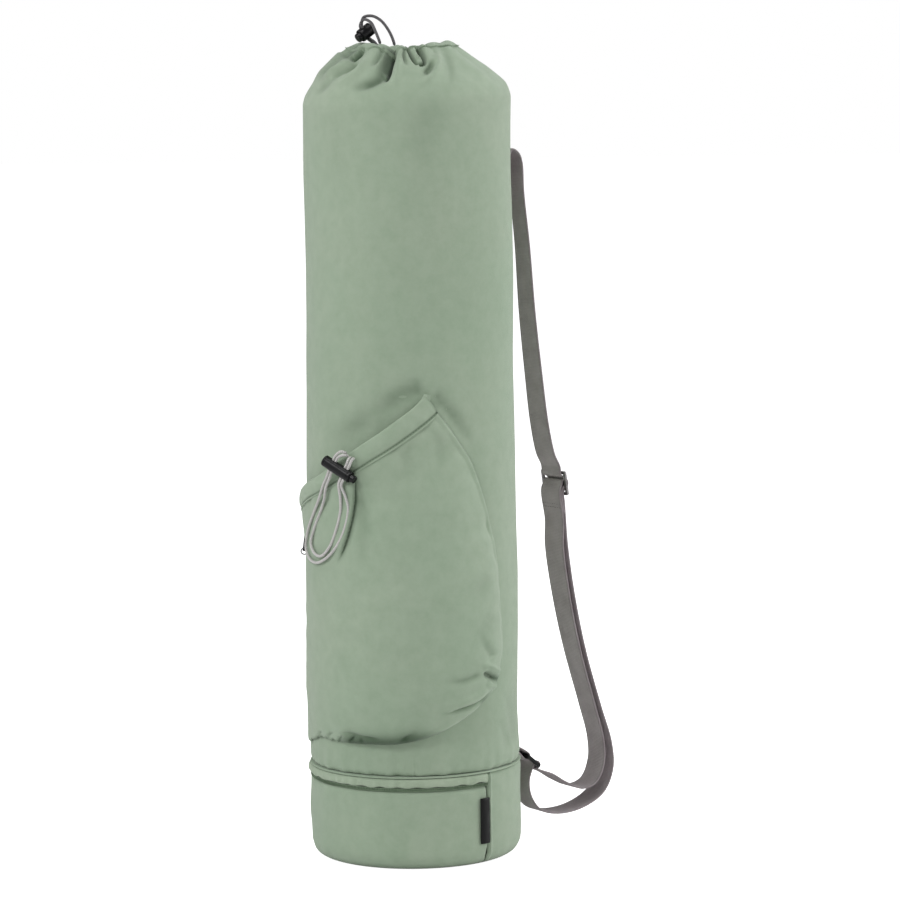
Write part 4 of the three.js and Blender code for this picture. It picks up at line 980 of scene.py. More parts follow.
# Tube, shoulder and casing are worked out as one sheet, so that their folds run on over the seam
def makeSleeve():
    azimuth = frontFirst(sleeve["columns"])[None, :]
    wall = np.r_[sleeve["wall"], np.linspace(103, bag["shoulderHeight"], sleeve["wallRows"])]
    shares = np.linspace(0, 1, sleeve["shoulderRows"] + 1)[1:, None]
    radius, height, rise = shoulderAt(azimuth, shares)
    low = around(azimuth, bodyRadius(wall)[:, None], wall[:, None])
    high = around(azimuth, radius, height)
    hemShares = np.linspace(0, 1, casing["rows"] + 1)[:, None]
    hemRadius, hemHeight = casingAt(azimuth, hemShares)
    hem = around(azimuth, hemRadius, hemHeight)
    base = np.concatenate([low, high, hem])
    sleeveRows = len(wall) + len(shares)
    rise = np.concatenate([np.zeros((len(wall), azimuth.shape[1])), rise + 0 * radius, 1 + 0 * hemRadius])
    x = np.broadcast_to(azimuth * bag["baseRadius"] * math.pi / 180, rise.shape)
    z = base[..., 2]
    longLength, longDeep, shortLength, shortDeep = sleeve["slack"]
    # The slack repeats after a turn, so it is read round a circle
    aroundX, aroundY = base[..., 0] * 1.6, base[..., 1] * 1.6
    slack = longDeep * (ripple(aroundX + aroundY * 0.3, z, longLength, 3) - 1) * 0.5
    slack += shortDeep * (ripple(aroundX - aroundY * 0.5, z * 0.8, shortLength, 4) - 1) * 0.5
    hidden = smooth((0.35 - np.cos(np.radians(azimuth))) / 0.9)
    dentLength, dentDeep = sleeve["dents"]
    dents = dentDeep * np.clip(ripple(aroundX * 1.4, z * 0.5, dentLength, 8) - 0.2, 0, None) * hidden
    dents = dents * smooth((z - bag["seamHeight"]) / 60)
    slack = slack - dents
    pinch, pinchWidth = sleeve["seamPinch"]
    puckerLength, puckerDeep, puckerReach = sleeve["puckers"]
    above = z - bag["seamHeight"]
    push = gatherDepth(azimuth, rise) + smallCreases(azimuth, rise)
    gathered = frontFolds(base, tubeDrawn)
    slackened = frontFolds(base, wallDrawn)
    # Painted shade: the cloth is darkened in the gathers, the slack folds and the small creases, and along the neck's
    # drawn shades
    crease = sleeve["gatherShade"] * np.clip(gathered, 0, None) + sleeve["slackShade"] * np.clip(slackened, 0, None)
    crease = crease + sleeve["creaseShade"] * push + frontFolds(base, shadeDrawn)
    push = push + gathered + slackened
    push = push + pinch * np.exp(-((above / pinchWidth) ** 1.5))
    push = push + puckerDeep * (uneven(x, puckerLength, 5) + 0.6) * np.exp(-above / puckerReach)
    normal = outward(base, True)
    # From the seam on, folds go down and inward instead of straight in
    seamDown = around(azimuth, 0.62, 0.78) + np.zeros_like(hem)
    mix = smooth(hemShares / 0.25)[..., None]
    hemWay = normal[sleeveRows:] * (1 - mix) + seamDown * mix
    push[sleeveRows:] *= 1 - (1 - casing["fold"]) * smooth(hemShares / 0.6)
    normal = np.concatenate([normal[:sleeveRows], hemWay])
    seamAt, grooveWidth, grooveDeep = casing["groove"]
    steps = np.r_[0, np.cumsum(np.linalg.norm(np.diff(base[:, 0], axis=0), axis=1))]
    seamPlace = steps[sleeveRows]
    frontal = smooth((np.cos(np.radians(azimuth)) - 0.1) / 0.5)
    push = push + grooveDeep * hill(steps - seamPlace, grooveWidth)[:, None] * frontal
    out = base + normal * (slack - push)[..., None]
    flat = np.stack(np.broadcast_arrays((np.r_[azimuth[0], 360] * perDegree)[None, :], steps[:, None]), -1)
    thick = (out - outward(out, True) * bag["cloth"])[:sleeveRows][::-2][::-1]
    made = Cloth("sleeve_cloth")
    first = (sleeveRows - 1) % 2
    made.wall(out[first:sleeveRows], thick[:, ::2], flat[first:sleeveRows], True, crease[first:sleeveRows])
    made.finish("sage", replaces=["main_sleeve"])
    hemOut = out[sleeveRows:]
    deep = bag["cloth"] + (bag["hem"] - bag["cloth"]) * smooth(hemShares / 0.2)
    roll = np.sqrt(1 - (1 - np.clip((1 - hemShares) / 0.08, 0.1, 1)) ** 2)
    way = outward(hemOut, True)
    hemIn = hemOut - way * (deep * (0.5 + 0.5 * roll))[..., None]
    hemOut = hemOut - way * (deep * (0.5 - 0.5 * roll))[..., None]
    made = Cloth("casing_cloth")
    made.wall(hemOut, hemIn[::2, ::2], flat[sleeveRows:], True, crease[sleeveRows:])
    made.finish("sage", replaces=["mouth_casing"])
    return hemOut


casingPoints = makeSleeve()
print("stage: sleeve and casing")


# Bottle pocket. Its four edges are azimuths and shares of its height.
pocket = {
    "foot": 100.0,
    "height": 300.0,
    "left": -92.0,
    "bulge": 21.0,
    "mouthPuff": 3.0,
    "hemWidth": 17.0,
    "skew": 1.6,
    "fullness": 0.8,
    "puffFullness": 0.4,
    "puffStart": 0.8,
    "puffRise": 0.14,
    "bottomEdge": [
        (-92, 0.015), (-78, 0), (-60, 0.022), (-32, 0.025), (-8, 0.03), (10, 0.052), (25, 0.088),
        (38, 0.13), (48, 0.175), (54, 0.225),
    ],
    "mouthEdge": [
        (-92, 0.69), (-74, 0.727), (-53, 0.773), (-42, 0.803), (-32, 0.84), (-23, 0.875),
        (-14, 0.91), (-4.5, 0.95), (3, 0.98), (8.2, 1),
    ],
    "rightEdge": [
        (54, 0.225), (55, 0.3), (53, 0.42), (50, 0.55), (45, 0.65), (40, 0.735), (33.5, 0.82),
        (24.5, 0.893), (16, 0.953), (8.2, 1),
    ],
    "belly": [
        (0, 0), (0.018, 0.36), (0.04, 0.56), (0.08, 0.75), (0.15, 0.91), (0.27, 1), (0.45, 0.97), (0.65, 0.8),
        (0.85, 0.56), (1, 0.42),
    ],
}


def pocketEdge(rows):
    points = [(azimuth * perDegree, pocket["foot"] + pocket["height"] * share) for azimuth, share in rows]
    return evenSteps(throughPoints(points, 1200, evenly=True), 801)


pocketEdges = {
    "bottom": pocketEdge(pocket["bottomEdge"]),
    "mouth": pocketEdge(pocket["mouthEdge"]),
    "right": pocketEdge(pocket["rightEdge"]),
    "left": pocketEdge([pocket["bottomEdge"][0], pocket["mouthEdge"][0]]),
}
bellyCurve = throughPoints(pocket["belly"], 161, evenly=True)


# Place on the unrolled tube, in millimetres, where u runs rightward and v from foot to mouth
def pocketPlace(u, v):
    def read(name, share):
        line = pocketEdges[name]
        steps = np.linspace(0, 1, len(line))
        return np.stack([np.interp(share, steps, line[:, k]) for k in range(2)], -1)

    u, v = np.broadcast_arrays(u, v)
    left, right = pocketEdges["left"], pocketEdges["right"]
    uu, vv = u[..., None], v[..., None]
    corners = (1 - uu) * (1 - vv) * left[0] + uu * (1 - vv) * right[0]
    corners = corners + (1 - uu) * vv * left[-1] + uu * vv * right[-1]
    across = (1 - vv) * read("bottom", u) + vv * read("mouth", u)
    return across + (1 - uu) * read("left", v) + uu * read("right", v) - corners


def pocketStand(u, v):
    across = np.maximum(np.sin(math.pi * np.clip(u, 0, 1) ** pocket["skew"]), 0) ** pocket["fullness"]
    puff = smooth((v - pocket["puffStart"]) / pocket["puffRise"])
    puff = puff * np.maximum(np.sin(math.pi * u), 0) ** pocket["puffFullness"]
    belly = np.interp(v, bellyCurve[:, 0], bellyCurve[:, 1])
    return pocket["bulge"] * across * belly + pocket["mouthPuff"] * puff


def pocketPoint(u, v, depth):
    place = pocketPlace(u, v)
    stand = bodyRadius(place[..., 1]) + bag["gap"] + pocketStand(u, v) + depth
    return around(place[..., 0] / perDegree, stand, place[..., 1])


def drawnOnFront(places):
    return np.array([np.array(seen(around(azimuth, 90.0, height))) for azimuth, height in places])


# Folds of the pocket as they show from the front: line, depth, half width, fading of the ends
pocketFolds = [
    ([(41, 165), (46, 162), (51, 158), (56, 155)], 6.5, 2.6, 0.3, 0.0),
    ([(40, 172), (46, 169), (52, 165)], -2.4, 2.6, 0.3, 0.0),
    ([(43, 155), (48, 152), (54, 150)], -2.0, 2.4, 0.3, 0.0),
    ([(50, 147), (42, 141), (34, 137.5), (25, 134.6), (12, 132)], 3.6, 1.5, 0.05, 0.5),
    ([(48, 154), (38, 146), (27, 141.5), (14, 139)], -1.8, 3.0, 0.2, 0.5),
    ([(14, 160), (28, 160), (41, 165)], 2.0, 3.4, 0.5, 0.2),
    ([(49, 176), (44, 186), (40, 200)], 1.6, 4.0, 0.1, 0.6),
    ([(-30, 326), (-26, 300), (-27, 272), (-32, 250)], 1.6, 6.5, 0.2, 0.6),
    ([(-37, 104), (-36, 110), (-32, 114)], 3.4, 1.8, 0, 0.7),
    ([(-27, 103), (-29, 109), (-33, 112)], 3.0, 1.5, 0, 0.7),
    ([(-46, 104), (-44, 110), (-40, 113)], 2.8, 1.6, 0, 0.7),
    ([(-56, 104), (-54, 110), (-50, 115)], 2.6, 1.8, 0, 0.7),
    ([(-66, 104), (-64, 109), (-60, 113)], 2.4, 1.8, 0, 0.7),
    ([(-50, 113), (-40, 115), (-28, 113), (-14, 111)], 1.6, 1.8, 0.3, 0.4),
    ([(-8, 106), (-5, 113), (4, 119)], 1.4, 2.4, 0, 0.7),
    ([(2, 369), (-2, 350), (-5, 325)], 0.9, 5, 0.3, 0.6),
    ([(14, 374), (16, 356), (15, 330)], 0.9, 5, 0.3, 0.6),
    ([(49, 250), (40, 236), (28, 228)], 0.9, 6, 0.3, 0.6),
    ([(50, 215), (42, 200), (30, 190)], 1.0, 6, 0.2, 0.6),
]
lobe = {
    "line": [(-32, 336), (-33, 314), (-35, 297), (-41, 271), (-46, 257.5)],
    "rise": 4.6,
    "edge": 0.8,
    "reach": 24.0,
    "overhang": 3.0,
    "overhangReach": 3.4,
    "shade": 0.8,
    "shadeReach": 2.4,
}
panel = {"columns": 240, "rows": 208, "edgeRoll": 2.2, "hemPucker": (13.0, 0.9, 17.0), "foldShade": 0.13, "underHem": 1.6}
pocketDrawn = drawnRows(pocketFolds, drawnOnFront)
lobeDrawn = drawnOnFront(lobe["line"])


# Left part of the pocket under the lock, which lies over the rest along a crisp edge: how far out
# each point is moved, and how far rightward
def lobeShift(points):
    x, z = seen(points)
    away, side, share = nearLine(x, z, lobeDrawn)
    signed = away * -side
    fade = smooth(share / 0.12) * smooth((1 - share) / 0.3)
    rise = lobe["rise"] * fade * smooth((signed + lobe["edge"]) / (2 * lobe["edge"]))
    rise = rise * np.exp(-np.clip(signed, 0, None) / lobe["reach"])
    over = lobe["overhang"] * fade * hill(signed - lobe["edge"], lobe["overhangReach"])
    over = over * smooth((signed + lobe["edge"]) / (2 * lobe["edge"]))
    turn = np.arctan2(points[..., 0], -points[..., 1])
    rightward = np.stack([np.cos(turn), np.sin(turn), 0 * turn], -1)
    return rise, rightward * over[..., None]


# Painted shadow on the cloth just right of that edge
def lobeShade(points):
    x, z = seen(points)
    away, side, share = nearLine(x, z, lobeDrawn)
    fade = smooth(share / 0.06) * smooth((1 - share) / 0.2)
    return lobe["shade"] * fade * hill(away, lobe["shadeReach"]) * np.where(side > 0, 1, 0.35)


def edgeAway(u, v, place, top):
    width = np.linalg.norm(place[:, -1] - place[:, 0], axis=-1)[:, None]
    tall = 0.8 * pocket["height"]
    return np.minimum(np.minimum(u, 1 - u) * width, np.minimum(v, top - v) * tall)


def makePanel():
    top = 1 - (pocket["hemWidth"] - panel["underHem"]) / (0.8 * pocket["height"])
    u = np.linspace(0, 1, panel["columns"] + 1)
    u = (u + 0.06 * np.sin(2 * math.pi * u) / (2 * math.pi) * -1)[None, :]
    v = np.linspace(0, 1, panel["rows"] + 1)
    v = (top * (v - 0.10 * np.sin(2 * math.pi * v) / (2 * math.pi)))[:, None]
    place = pocketPlace(u, v)
    bare = pocketPoint(u, v, bag["cloth"])
    away = edgeAway(u, v, place, 2.0)
    roll = np.sqrt(1 - (1 - np.clip(away / panel["edgeRoll"], 0.08, 1)) ** 2)
    half = bag["cloth"] / 2
    along = np.broadcast_to(u * 150.0, away.shape)
    puckerLength, puckerDeep, puckerReach = panel["hemPucker"]
    under = np.clip((top - v) * 0.8 * pocket["height"], 0, None)
    push = frontFolds(bare, pocketDrawn)
    # Painted shade in the pocket's folds
    crease = panel["foldShade"] * np.clip(push, 0, None)
    push = push + puckerDeep * (uneven(along, puckerLength, 21) + 0.4) * np.exp(-under / puckerReach)
    edgeFade = smooth(away / 7.0)
    bottomPuckers = uneven(place[..., 0], 17.0, 22) * np.exp(-np.clip(v * 240, 0, None) / 11.0)
    sidePuckers = uneven(place[..., 1], 21.0, 23) * np.exp(-(1 - u) * 140 / 12.0)
    push = push + (0.9 * bottomPuckers + 0.8 * sidePuckers + 0.3) * smooth(away / 4)
    push = push + 0.5 * (ripple(place[..., 0], place[..., 1], 60, 24) + 0.8) * edgeFade
    push = push + 0.18 * ripple(place[..., 0], place[..., 1], 22, 25) * edgeFade
    rise, over = lobeShift(bare)
    crease = crease + lobeShade(bare)
    # Painted shade where the belly hangs over the bottom seam, most at the front
    turn = place[..., 0] / perDegree
    hang = smooth((turn + 46) / 14) * smooth((16 - turn) / 18)
    crease = crease + np.exp(-((v * 240 / (1.6 + 7.6 * hang)) ** 2)) * (0.55 + 0.45 * hang)
    # Painted shadow along the right seam, in its upper part
    crease = crease + 0.6 * hill((1 - u) * 140, 1.4) * smooth((v - 0.3) / 0.4)
    # Turned seam along the right edge
    welt = 1.3 * hill((1 - u) * 140 - 2.2, 1.1) * smooth((v - 0.2) / 0.4)
    limit = np.minimum(push * edgeFade, pocketStand(u, v) * 0.7 + 0.2)
    normal = outward(bare, False)
    middle = bare - normal * half + normal * (rise + welt - limit)[..., None] + over
    wobble = 1.5 * uneven(place[..., 0], 9.0, 26) * smooth((-38 - turn) / 8) * smooth((turn + 88) / 10)
    middle[..., 2] += wobble * np.exp(-v * 240 / 5.0)
    normal = outward(middle, False)
    out = middle + normal * (half * roll)[..., None]
    inner = (middle - normal * (half * roll)[..., None])[::2, ::2]
    made = Cloth("pocket_cloth")
    made.wall(out, inner, place, False, crease)
    made.finish("sage", replaces=["bottle_pocket"], sharp=60)
    return middle


def makeHem():
    share = 1 - pocket["hemWidth"] / (0.8 * pocket["height"])
    start = share + bag["gap"] / (0.6 * pocket["height"])
    u = np.linspace(0, 1, 181)[None, :]
    t = np.linspace(0, 1, 25)
    t = (t - 0.55 * np.sin(2 * math.pi * t) / (2 * math.pi))[:, None]
    v = start + (1 - start) * t
    place = pocketPlace(u, v)
    half = bag["hem"] / 2
    bare = pocketPoint(u, v, half)
    depth = pocket["hemWidth"]
    endAway = np.minimum(u * 150, (1 - u) * 150)
    away = np.minimum(np.minimum(t * depth, (1 - t) * depth), endAway)
    along = np.broadcast_to(u * 150.0, away.shape)
    gathersIn = 0.8 * uneven(along, 12.0, 31) * smooth(endAway / 12)
    # The hem starts level with the panel, dips at its stitches and is fullest over the drawcord
    step = t * depth
    full = bag["cloth"] + 0.1 + (bag["hem"] - bag["cloth"]) * 0.55 * smooth((step - 2.6) / 5)
    full = full + 0.5 * np.sin(math.pi * np.clip((step - 3) / (depth - 3), 0, 1)) - 0.7 * hill(step - 2.3, 0.6)
    rise, over = lobeShift(bare)
    normal = outward(bare, False)
    low = bare - normal * half + normal * (rise + gathersIn * smooth(away / 3) * 0.6)[..., None] + over
    corner = hill(np.hypot((1 - u) * 150, (1 - t) * depth), 7.0)
    low = low + around(pocket["mouthEdge"][-1][0], 0.6, 2.6) * corner[..., None]
    topRoll = np.sqrt(1 - (1 - np.clip(np.minimum((1 - t) * depth, endAway) / 1.6, 0.1, 1)) ** 2)
    # Painted shade in the stitch line's dip, right of the lock's lobe and along the right seam
    crease = 0.75 * hill(step - 2.0, 0.9) + lobeShade(bare) + 0.5 * hill((1 - u) * 150, 1.2)
    out = low + normal * (full * (0.5 + 0.5 * topRoll))[..., None]
    inner = (low + normal * (full * (0.5 - 0.5 * topRoll))[..., None])[::2, ::2]
    made = Cloth("pocket_hem_cloth")
    made.wall(out, inner, place, False, crease)
    made.finish("sage", replaces=["pocket_hem"], sharp=60)
    return out


panelMiddle = makePanel()
hemOut = makeHem()
print("stage: pocket")

# Bottom compartment
compartment = {
    "edgeRadius": 14.0,
    "frontSeam": 43.0,
    "backSeam": -197.0,
    "slit": 0.18,
    "zipBottom": 68.0,
    "flapTop": 79.0,
    "flapHeight": 7.6,
    "flapPuff": 1.3,
    "flapSetback": 0.4,
    "zipRecess": 1.0,
}


def wallProfile(top, rows):
    edge = compartment["edgeRadius"]
    turn = np.linspace(0, math.pi / 2, 13)
    radius = bag["baseRadius"] - edge + edge * np.sin(turn)
    height = edge - edge * np.cos(turn)
    share = np.linspace(0, 1, rows + 1)[1:]
    share = share + 0.1 * np.sin(2 * math.pi * share) / (2 * math.pi) * -1
    high = edge + (top - edge) * share
    return np.r_[radius, bag["baseRadius"] + (bodyRadius(top) - bag["baseRadius"]) * share], np.r_[height, high]


def makeWall(name, node, start, end, top, columns, seed):
    slit = math.degrees(compartment["slit"] / (bag["baseRadius"] - compartment["edgeRadius"]))
    azimuth = np.linspace(start + slit, end - slit, columns + 1)[None, :]
    radius, height = wallProfile(top, 36)
    base = around(azimuth, radius[:, None], height[:, None])
    x = np.broadcast_to(azimuth * bag["baseRadius"] * math.pi / 180, base.shape[:2])
    z = base[..., 2]
    toSeam = np.minimum(azimuth - start, end - azimuth) * bag["baseRadius"] * math.pi / 180
    toTop = top - z
    push = 0.5 * (ripple(x, z * 1.3, 52, seed) + 1)
    push = push + 0.35 * (uneven(x, 13.0, seed + 1) + 1) * np.exp(-toTop / 9)
    push = push + 0.45 * (uneven(x, 16.0, seed + 2) + 1) * np.exp(-np.abs(z - 6) / 9)
    push = push + 1.8 * hill(toSeam, 1.5) + 0.5 * (uneven(z, 11.0, seed + 3) + 0.5) * np.exp(-toSeam / 8)
    push = push + 1.0 * hill(toTop, 1.4)
    push = push - 1.1 * hill(toSeam - 2.6, 1.2) * (end > 90)
    push = push * smooth(z / 9)
    out = base - outward(base, False) * push[..., None]
    inner = (out - outward(out, False) * bag["cloth"])[::2, ::2]
    steps = np.r_[0, np.cumsum(np.linalg.norm(np.diff(base[:, 0], axis=0), axis=1))]
    flat = np.stack(np.broadcast_arrays(x[:1], steps[:, None]), -1)
    made = Cloth(name)
    # Painted shade at the seams, just below the top edge and toward the bottom
    crease = 0.4 * hill(toSeam, 0.5) + 0.4 * hill(toTop, 0.8) + 0.3 * smooth((7 - z) / 6)
    made.wall(out, inner, flat, False, crease)
    made.finish("sage", replaces=[node])


makeWall("base_front_cloth", "base_front_panel", compartment["backSeam"], compartment["frontSeam"], compartment["zipBottom"], 300, 41)
makeWall("base_back_cloth", "base_back_panel", compartment["frontSeam"], compartment["backSeam"] + 360, compartment["flapTop"], 150, 47)


def bandAzimuths(columns):
    slit = 2 * math.degrees(compartment["slit"] / bag["baseRadius"])
    return np.linspace(compartment["backSeam"] + slit, compartment["frontSeam"] - slit, columns + 1)


def makeFlap():
    azimuth = bandAzimuths(360)[None, :]
    t = np.linspace(0, 1, 15)[:, None]
    bottom = compartment["flapTop"] - compartment["flapHeight"]
    x = np.broadcast_to(azimuth * bag["baseRadius"] * math.pi / 180, (15, azimuth.shape[1]))
    puff = compartment["flapPuff"] * np.sin(math.pi * t) ** 0.6 * (1 + 0.55 * uneven(x, 9, 51))
    lip = np.sqrt(1 - (1 - np.clip(t * 5, 0.05, 1)) ** 2)
    radius = bodyRadius(compartment["flapTop"]) - compartment["flapSetback"] + puff - 1.0 * (1 - lip)
    radius = radius - 1.2 * smooth((t - 0.86) / 0.14)
    height = bottom + compartment["flapHeight"] * t + 0.7 * uneven(x, 17, 52) * (1 - t)
    out = around(azimuth, radius, height)
    innerRadius = bodyRadius(compartment["flapTop"]) - 2 * bag["cloth"] + 1.0 * (1 - lip) + 0 * x
    inner = around(azimuth, innerRadius, height)[::2, ::2]
    flat = np.stack([x, 0 * x + t * 9], -1)
    made = Cloth("flap_cloth")
    made.wall(out, inner, flat, False)
    made.finish("flap", replaces=["zip_flap"])


makeFlap()


def makeTape():
    azimuth = bandAzimuths(240)[None, :]
    bottom = compartment["zipBottom"] + bag["gap"]
    top = compartment["flapTop"] - compartment["flapHeight"] - bag["gap"]
    height = np.linspace(bottom, top, 5)[:, None]
    radius = bodyRadius(bottom) - compartment["zipRecess"]
    out = around(azimuth, radius + 0 * height, height)
    inner = around(azimuth, radius - bag["cloth"] + 0 * height, height)[::2, ::2]
    x = np.broadcast_to(azimuth * bag["baseRadius"] * math.pi / 180, (5, azimuth.shape[1]))
    made = Cloth("zip_tape_cloth")
    made.wall(out, inner, np.stack([x, 0 * x + height], -1), False)
    made.finish("tape", replaces=["zip_tape"])


makeTape()


# Round flat panel of cloth with its rim rounded
def makeDisc(name, node, radius, bottom, top, seed):
    half = (top - bottom) / 2
    turns = np.linspace(0, 360, 120, endpoint=False)[None, :]
    rings = np.r_[np.linspace(1.0, radius - half, 24), radius - half + half * np.sin(np.linspace(0.3, 1.5, 4))]
    rise = np.r_[np.ones(24), np.cos(np.linspace(0.3, 1.5, 4))] * half
    profile = np.r_[rings, rings[::-1]], np.r_[-rise, rise[::-1]]
    ring = around(turns, profile[0][:, None], (bottom + top) / 2 + profile[1][:, None])
    sag = 0.35 * (ripple(ring[..., 0], ring[..., 1], 40, seed) + 1) * smooth((radius - profile[0]) / 12)[:, None]
    ring[..., 2] += sag
    closed = np.concatenate([ring, ring[:, :1]], axis=1)
    made = Cloth(name)
    number = made.grid(ring, closed[..., :2], True)
    made.faces.append(number[0][:-1][::-1].tolist())
    made.uvs.append(ring[0][::-1][:, :2])
    made.faces.append(number[-1][:-1].tolist())
    made.uvs.append(ring[-1][:, :2])
    made.finish("sage", replaces=[node])


makeDisc("divider_cloth", "divider_panel", float(bodyRadius(80)), 79.3, 80.7, 61)
makeDisc("bottom_cloth", "base_panel", 76.7, 0.0, 1.4, 62)


def makeLabel():
    radius = float(bodyRadius(58)) + 0.6
    turn = math.degrees(9.6 / radius)
    azimuth = np.linspace(compartment["frontSeam"] - turn, compartment["frontSeam"], 21)[None, :]
    height = np.linspace(19.5, 58.5, 53)[:, None]
    side = (azimuth - azimuth[0, 0]) * perDegree
    edge = np.minimum(np.minimum(height - 19.5, 58.5 - height), side)
    roll = np.sqrt(1 - (1 - np.clip(edge / 0.9, 0.2, 1)) ** 2)
    # A folded loop: fullest beside its fold, pressed flat where it goes into the seam
    full = 1.7 * np.sin(math.pi * np.clip(side / 9.6, 0, 1) ** 0.7) * (1 + 0.12 * np.sin(height / 5))
    out = around(azimuth, radius + 0.5 + 0.5 * roll + full * roll, height)
    inner = around(azimuth, radius + 0.45 - 0.35 * roll + 0 * full, height)[::2, ::2]
    x = np.broadcast_to(azimuth * perDegree, (53, 21))
    made = Cloth("label_cloth")
    made.wall(out, inner, np.stack([x, 0 * x + height], -1), False)
    made.finish("label", replaces=["side_label"])


makeLabel()
print("stage: bottom compartment")

# Shoulder strap. It hangs in an upright sheet: a place is its way out, its height and its place across.
strap = {
    "width": 25.0,
    "thick": 1.5,
    "azimuth": 118.0,
    "anchorHeight": 576.0,
    "anchorLength": 26.0,
    "anchorTurn": 3.4,
    "reach": 100.0,
    "barSlack": 0.65,
    "turns": [(0, 33), (0.25, 35), (0.5, 40), (0.56, 40), (0.8, 33), (0.94, 28), (1.1, 28)],
    "upper": [(0.165, 0.98), (0.215, 0.9), (0.265, 0.8), (0.34, 0.7), (0.405, 0.63), (0.48, 0.582)],
    "outer": [
        (0.615, 0.44), (0.68, 0.36), (0.79, 0.27), (0.93, 0.19), (1.04, 0.13), (1.05, 0.09),
        (0.95, 0.056), (0.72, 0.036), (0.45, 0.032), (0.26, 0.042), (0.16, 0.066), (0.145, 0.09),
    ],
    "inner": [
        (0.4, 0.093), (0.54, 0.078), (0.72, 0.065), (0.87, 0.072), (0.955, 0.1), (0.955, 0.135),
        (0.87, 0.19), (0.735, 0.27), (0.625, 0.36), (0.565, 0.44),
    ],
    "fold": [(0.41, -0.88), (1.44, 1), (3.03, 0.15), (4.06, -2.06)],
}
slider = {"height": 309.0, "out": 59.0, "lean": 9.0, "thick": 2.2, "bar": 2.6, "slot": 6.8, "layerGap": 0.45, "tail": 26.0}
ring = {"out": 12.0, "height": 73.0, "lean": 40.0, "pitch": 14.0, "bar": 3.0}

# Weave through the slider: faces, layers, pitch and tail of each place
weave = [
    (-1.05, 0, -1.64, 0), (-1.07, 0, -1.03, 0), (-0.86, 0, -0.766, 0), (0.65, 0, -0.585, 0),
    (1, 0.85, -0.245, 0), (1, 1.2, 0.02, 0), (1, 0.9, 0.255, 0), (0.744, 0, 0.553, 0),
    (-0.7, 0, 0.702, 0), (-1.14, 0, 0.957, 0), (-1.14, 0, 1.745, 0),
]
sewnLoop = [
    (-1, -2.26, 0, 1.23), (-1, -2.26, 1.043, 0), (-1, -1.65, 0.447, 0), (-1.14, 0, 0.02, 0),
    (-0.884, 0, -0.223, 0), (0, 0, -0.293, 0), (0.884, 0, -0.223, 0), (1.14, 0, 0, 0),
    (0.884, 0, 0.223, 0), (-0.372, 0, 0.372, 0), (-1, -0.9, 0.681, 0), (-1, -1.18, 1.106, 0),
    (-1, -1.23, 0, 1),
]


def strapTurn(height):
    rows = np.array(strap["turns"])
    return np.radians(np.interp(np.asarray(height) / strap["anchorHeight"], rows[:, 0], rows[:, 1]))


def strapPoint(out, height, across):
    turn = strapTurn(height)
    foot = around(strap["azimuth"], bodyRadius(height), height)
    outwardWay = np.stack([np.cos(turn), np.sin(turn), 0 * turn], -1)
    sideways = np.stack([-np.sin(turn), np.cos(turn), 0 * turn], -1)
    return foot + outwardWay * np.asarray(out)[..., None] + sideways * np.asarray(across)[..., None]


def atSlider(faces, layers, pitch, tail):
    out = faces * (slider["thick"] / 2 + bag["gap"] + strap["thick"] / 2) + layers * (strap["thick"] + slider["layerGap"])
    down = pitch * (slider["bar"] + slider["slot"]) + tail * slider["tail"]
    lean = math.radians(slider["lean"])
    return (
        slider["out"] + out * math.cos(lean) + down * math.sin(lean),
        slider["height"] - down * math.cos(lean) + out * math.sin(lean),
    )


def atRing(along, off):
    lean = math.radians(ring["lean"])
    return (
        ring["out"] + along * math.cos(lean) + off * math.sin(lean),
        ring["height"] - along * math.sin(lean) + off * math.cos(lean),
    )


def roundBar(along, start, end, count):
    radius = ring["bar"] / 2 + bag["gap"] + strap["barSlack"] + strap["thick"] / 2
    turns = np.radians(np.linspace(start, end, count + 1))
    return [atRing(along + radius * math.cos(turn), radius * math.sin(turn)) for turn in turns]


def strapPath():
    flat = 1.5 * bag["gap"] + strap["thick"] / 2
    top = strap["anchorHeight"] + strap["anchorLength"] - strap["anchorTurn"]
    scaled = {
        key: [(out * strap["reach"], height * strap["anchorHeight"]) for out, height in strap[key]]
        for key in ("upper", "outer", "inner")
    }
    return [
        (flat, strap["anchorHeight"] - strap["anchorLength"] / 2),
        (flat, strap["anchorHeight"] + strap["anchorLength"] / 2),
        *[(flat + out * strap["anchorTurn"], top + up * strap["anchorTurn"]) for out, up in strap["fold"]],
        *scaled["upper"],
        *[atSlider(*row) for row in weave],
        *scaled["outer"],
        *roundBar(ring["pitch"], -150, -400, 5),
        *scaled["inner"],
        *[atSlider(*row) for row in sewnLoop],
    ]


